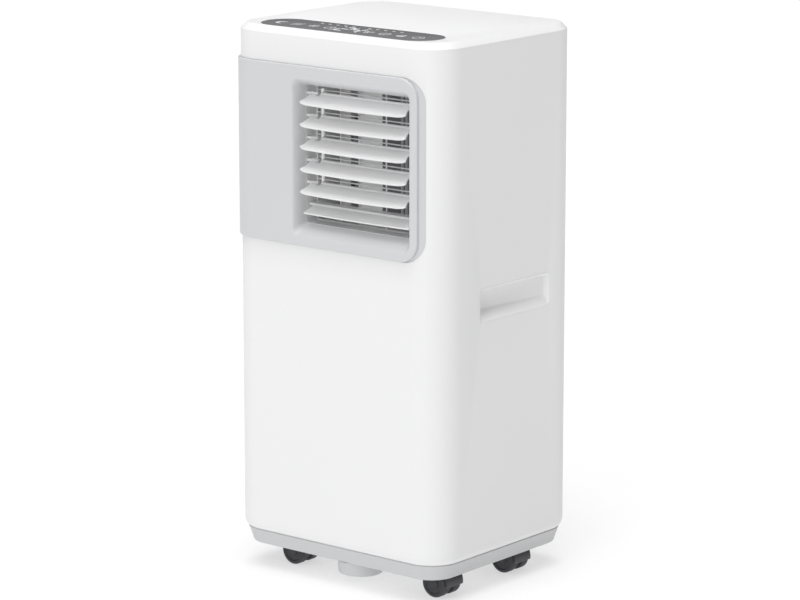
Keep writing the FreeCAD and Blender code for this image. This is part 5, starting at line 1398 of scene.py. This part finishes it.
# --- back -------------------------------------------------------------------
@dataclass
class BackFittings:
    """Filters, hose socket, cord gland, screws and drain plug on the back."""

    border: float = 9.0 * MM
    slat: float = 2.4 * MM
    pitch: float = 11.0 * MM
    thickness: float = 4.0 * MM
    screw_cell: float = 20.0 * MM
    rib: float = 3.0 * MM               # upright ribs between the columns of slots
    tab_width: float = 32.0 * MM
    tab_height: float = 2.6 * MM

    def build(self, back: float) -> None:
        """Make the fittings on the back face.

        Args:
            back: y of the casing's back.
        """
        for name in ("upper", "lower"):
            self.build_filter(name, back)
        self.build_socket(back)
        self.build_gland(back)
        self.build_screws(back)
        self.build_plug()

    def build_filter(self, name: str, back: float) -> None:
        """Pull-out grille: one plate pierced by rounded slots in three columns, with walls and a tab."""
        low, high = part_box(f"{name}_filter_frame")
        front_y, face = back - 1.5 * MM, back - 1.5 * MM + self.thickness
        x0, x1, z0, z1 = low.x, high.x, low.z, high.z
        rows = int((z1 - z0 - 2 * self.border) / self.pitch)
        pitch = (z1 - z0 - 2 * self.border) / rows
        column = (x1 - x0 - 2 * self.border) / 3
        rib, half_slat = self.rib / 2, self.slat / 2
        left, foot = x0 + self.border, z0 + self.border
        holes = [rounded_loop(left + column * c + rib, left + column * (c + 1) - rib,
                              foot + pitch * r + half_slat, foot + pitch * (r + 1) - half_slat,
                              2.2 * MM, steps=4)
                 for r in range(rows) for c in range(3)]
        outer = rounded_loop(x0, x1, z0, z1, 6 * MM)
        skin = plate(facing_back(0.0), outer, holes, face, front_y + 0.5 * MM, 0.8 * MM, steps=2)
        guide = offset_loop(outer, -2.5 * MM)
        skin.join(plate(facing_back(0.0), outer, [guide], front_y + 0.5 * MM, low.y, 0.0, 0.4 * MM))
        middle, tab_z = (x0 + x1) / 2, z1 - 5.2 * MM
        half_tab, half_tall = self.tab_width / 2, self.tab_height / 2
        skin.join(block(middle - half_tab, middle + half_tab, face - 1 * MM, high.y,
                        tab_z - half_tall, tab_z + half_tall, 0.6 * MM))
        skin.piece(f"{name}_filter_grille", "white_plastic", [f"{name}_filter_frame"], f"{name}_filter")

    def build_socket(self, back: float) -> None:
        """Hose socket turned from one profile: tube, flange on the back panel and bevelled mouth."""
        low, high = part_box("hose_socket")
        centre = centre_of("hose_socket") * [1, 0, 1]
        outer = (high.x - low.x) / 2
        bore, tube, rim = outer - 7 * MM, outer - 3.3 * MM, outer - 0.5 * MM
        lip, flange = 1.2 * MM, back + 2.5 * MM
        profile = [(low.y, bore), (low.y, tube), (back, tube), (back, rim), (back + 0.4 * MM, outer),
                   (back + 2.0 * MM, outer), (flange, rim), (flange, tube), (high.y - lip, tube),
                   (high.y - 0.35 * lip, tube - 0.35 * lip), (high.y, tube - lip), (high.y, bore + 0.8 * MM),
                   (high.y - 0.8 * MM, bore), (low.y, bore)]
        lathe(profile, centre, [0, 1, 0], 96).piece("hose_collar", "white_plastic", ["hose_socket"])

    def build_gland(self, back: float) -> None:
        """Rubber inlet: a ribbed cone with a bore."""
        low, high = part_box("cord_gland")
        centre = centre_of("cord_gland") * [1, 0, 1]
        wide, bore = (high.x - low.x) / 2, 3.6 * MM
        neck, inside_face = wide - 2.05 * MM, back - 3 * MM
        cone = [(back + (high.y - back) * t, wide - 3 * MM * t - (0.5 * MM if i % 4 in (2, 3) else 0.0))
                for i, t in enumerate(np.linspace(0, 1, 13))]
        profile = [(low.y, bore), (low.y, wide), (inside_face, wide), (inside_face, neck), (back, neck),
                   *cone, (high.y, bore), (low.y, bore)]
        lathe(profile, centre, [0, 1, 0], 40).piece("cord_inlet", "black_rubber", ["cord_gland"])

    def build_screws(self, back: float) -> None:
        """Pan-head screws, each head a dome with a round drive recess.

        The CAD node holds all the screws, so its corners on the outside are sorted into cells that
        hold one head each.
        """
        screws = frame["nodes"]["rear_screws"]
        places = np.zeros(len(screws.data.vertices) * 3)
        screws.data.vertices.foreach_get("co", places)
        heads = places.reshape(-1, 3)
        heads = heads[heads[:, 1] > back + 1 * MM][:, [0, 2]]
        cells = np.round(heads / self.screw_cell)
        head, rise = 3.8 * MM, 1.8 * MM
        shank, recess = 1.5 * MM, back + rise * 0.4
        dome = [(back + rise * 0.45 + rise * 0.5 * math.sin(a), head * math.cos(a))
                for a in np.linspace(0, math.pi / 2, 6)[:-1]]
        profile = [(back - 9 * MM, 0), (back - 7.5 * MM, shank), (back, shank), (back, head), *dome,
                   (back + rise * 0.95, 1.0 * MM), (recess, 0.6 * MM), (recess, 0)]
        whole = Skin()
        for cell in np.unique(cells, axis=0):
            near = heads[(cells == cell).all(1)]
            x, z = (near.min(0) + near.max(0)) / 2
            whole.join(lathe(profile, [x, 0.0, z], [0, 1, 0], 24))
        whole.piece("back_screws", "bright_steel", ["rear_screws"])

    def build_plug(self) -> None:
        """Drain plug: stem with two sealing ribs, flange and a finger tab."""
        low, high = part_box("drain_plug")
        x, _, z = centre_of("drain_plug")
        flange, stem = (high.x - low.x) / 2, 4.8 * MM
        core, face = stem - 0.5 * MM, low.y + 10 * MM
        ribs = [(low.y + at + shift, radius) for at in (3.0 * MM, 6.5 * MM)
                for shift, radius in ((-0.8 * MM, core), (0.0, stem), (0.8 * MM, core))]
        profile = [(low.y, 0), (low.y, stem - 1.2 * MM), (low.y + 0.7 * MM, core), *ribs, (face, core),
                   (face, flange - 0.4 * MM), (face + 0.4 * MM, flange), (face + 2.1 * MM, flange),
                   (face + 2.5 * MM, flange - 0.4 * MM), (face + 2.5 * MM, 0)]
        skin = lathe(profile, [x, 0.0, z], [0, 1, 0], 36)
        skin.join(block(x - 1.5 * MM, x + 1.5 * MM, face + 2 * MM, high.y, z - 5 * MM, z + 5 * MM, 0.5 * MM))
        skin.piece("drain_bung", "black_rubber", ["drain_plug"], "plug")


# --- studio -----------------------------------------------------------------
@dataclass
class Studio:
    """Pale floor, soft light and the camera."""

    azimuth: float = math.radians(39.3)
    elevation: float = math.radians(12.27)
    distance: float = 4.245
    target: tuple[float, float, float] = (-0.001, -0.0045, 0.3242)
    lens: float = 159.67
    sensor: float = 36.0
    floor_size: float = 60.0
    sky: float = 0.19
    lamps: tuple[tuple[str, float, float, tuple[float, float, float]], ...] = (
        ("key", 2.4, math.radians(45), (0.0, -0.03, 1.0)), ("fill", 1.25, math.radians(60), (0.2, -0.8, 0.6)))

    def build(self) -> None:
        """Make the floor, the lights and the camera."""
        scene = bpy.context.scene
        scene.view_settings.view_transform = "Standard"
        half = self.floor_size / 2
        floor = bpy.data.meshes.new("floor")
        floor.from_pydata([(-half, -half, 0), (half, -half, 0), (half, half, 0), (-half, half, 0)], [],
                          [(0, 1, 2, 3)])
        floor.materials.append(PALETTE.floor.material())
        stage = bpy.data.objects.new("floor", floor)
        scene.collection.objects.link(stage)
        world = bpy.data.worlds.new("studio")
        world.use_nodes = True
        world.node_tree.nodes["Background"].inputs["Color"].default_value = (1.0, 1.0, 1.0, 1.0)
        world.node_tree.nodes["Background"].inputs["Strength"].default_value = self.sky
        scene.world = world
        for name, strength, spread, source in self.lamps:
            sun = bpy.data.lights.new(name, "SUN")
            sun.energy, sun.angle = strength, spread
            lamp = bpy.data.objects.new(name, sun)
            lamp.rotation_mode = "QUATERNION"
            lamp.rotation_quaternion = Vector(source).to_track_quat("Z", "Y")
            scene.collection.objects.link(lamp)
        camera = bpy.data.cameras.new("camera")
        camera.lens, camera.sensor_width = self.lens, self.sensor
        camera.clip_end = 100.0
        eye = bpy.data.objects.new("camera", camera)
        away = Vector((math.sin(self.azimuth) * math.cos(self.elevation),
                       -math.cos(self.azimuth) * math.cos(self.elevation), math.sin(self.elevation)))
        eye.location = Vector(self.target) + away * self.distance
        eye.rotation_mode = "QUATERNION"
        eye.rotation_quaternion = away.to_track_quat("Z", "Y")
        scene.collection.objects.link(eye)
        scene.camera = eye


def dress_cad_nodes() -> None:
    """Give every carried-over CAD node the finish of its material slot."""
    for row in frame["record"]["subparts"]:
        mesh = frame["nodes"][row["node"]].data
        mesh.materials.clear()
        mesh.materials.append(SLOT_FINISH[row["material_slot"]].material())


def main() -> None:
    """Build the machine round its frame, then the studio."""
    logging.basicConfig(level=logging.INFO, format="%(name)s: %(message)s")
    dress_cad_nodes()
    casing = Casing()
    outlet = Outlet(casing.plan)
    castors = {place: Castor(place) for place in ("front_left", "front_right", "rear_left", "rear_right")}
    casing.build(outlet)
    outlet.build()
    BaseTray().build(casing, castors)
    for castor in castors.values():
        castor.build()
    ControlPanel().build()
    BackFittings().build(casing.plan.y1)
    Studio().build()


if __name__ == "__main__":
    main()
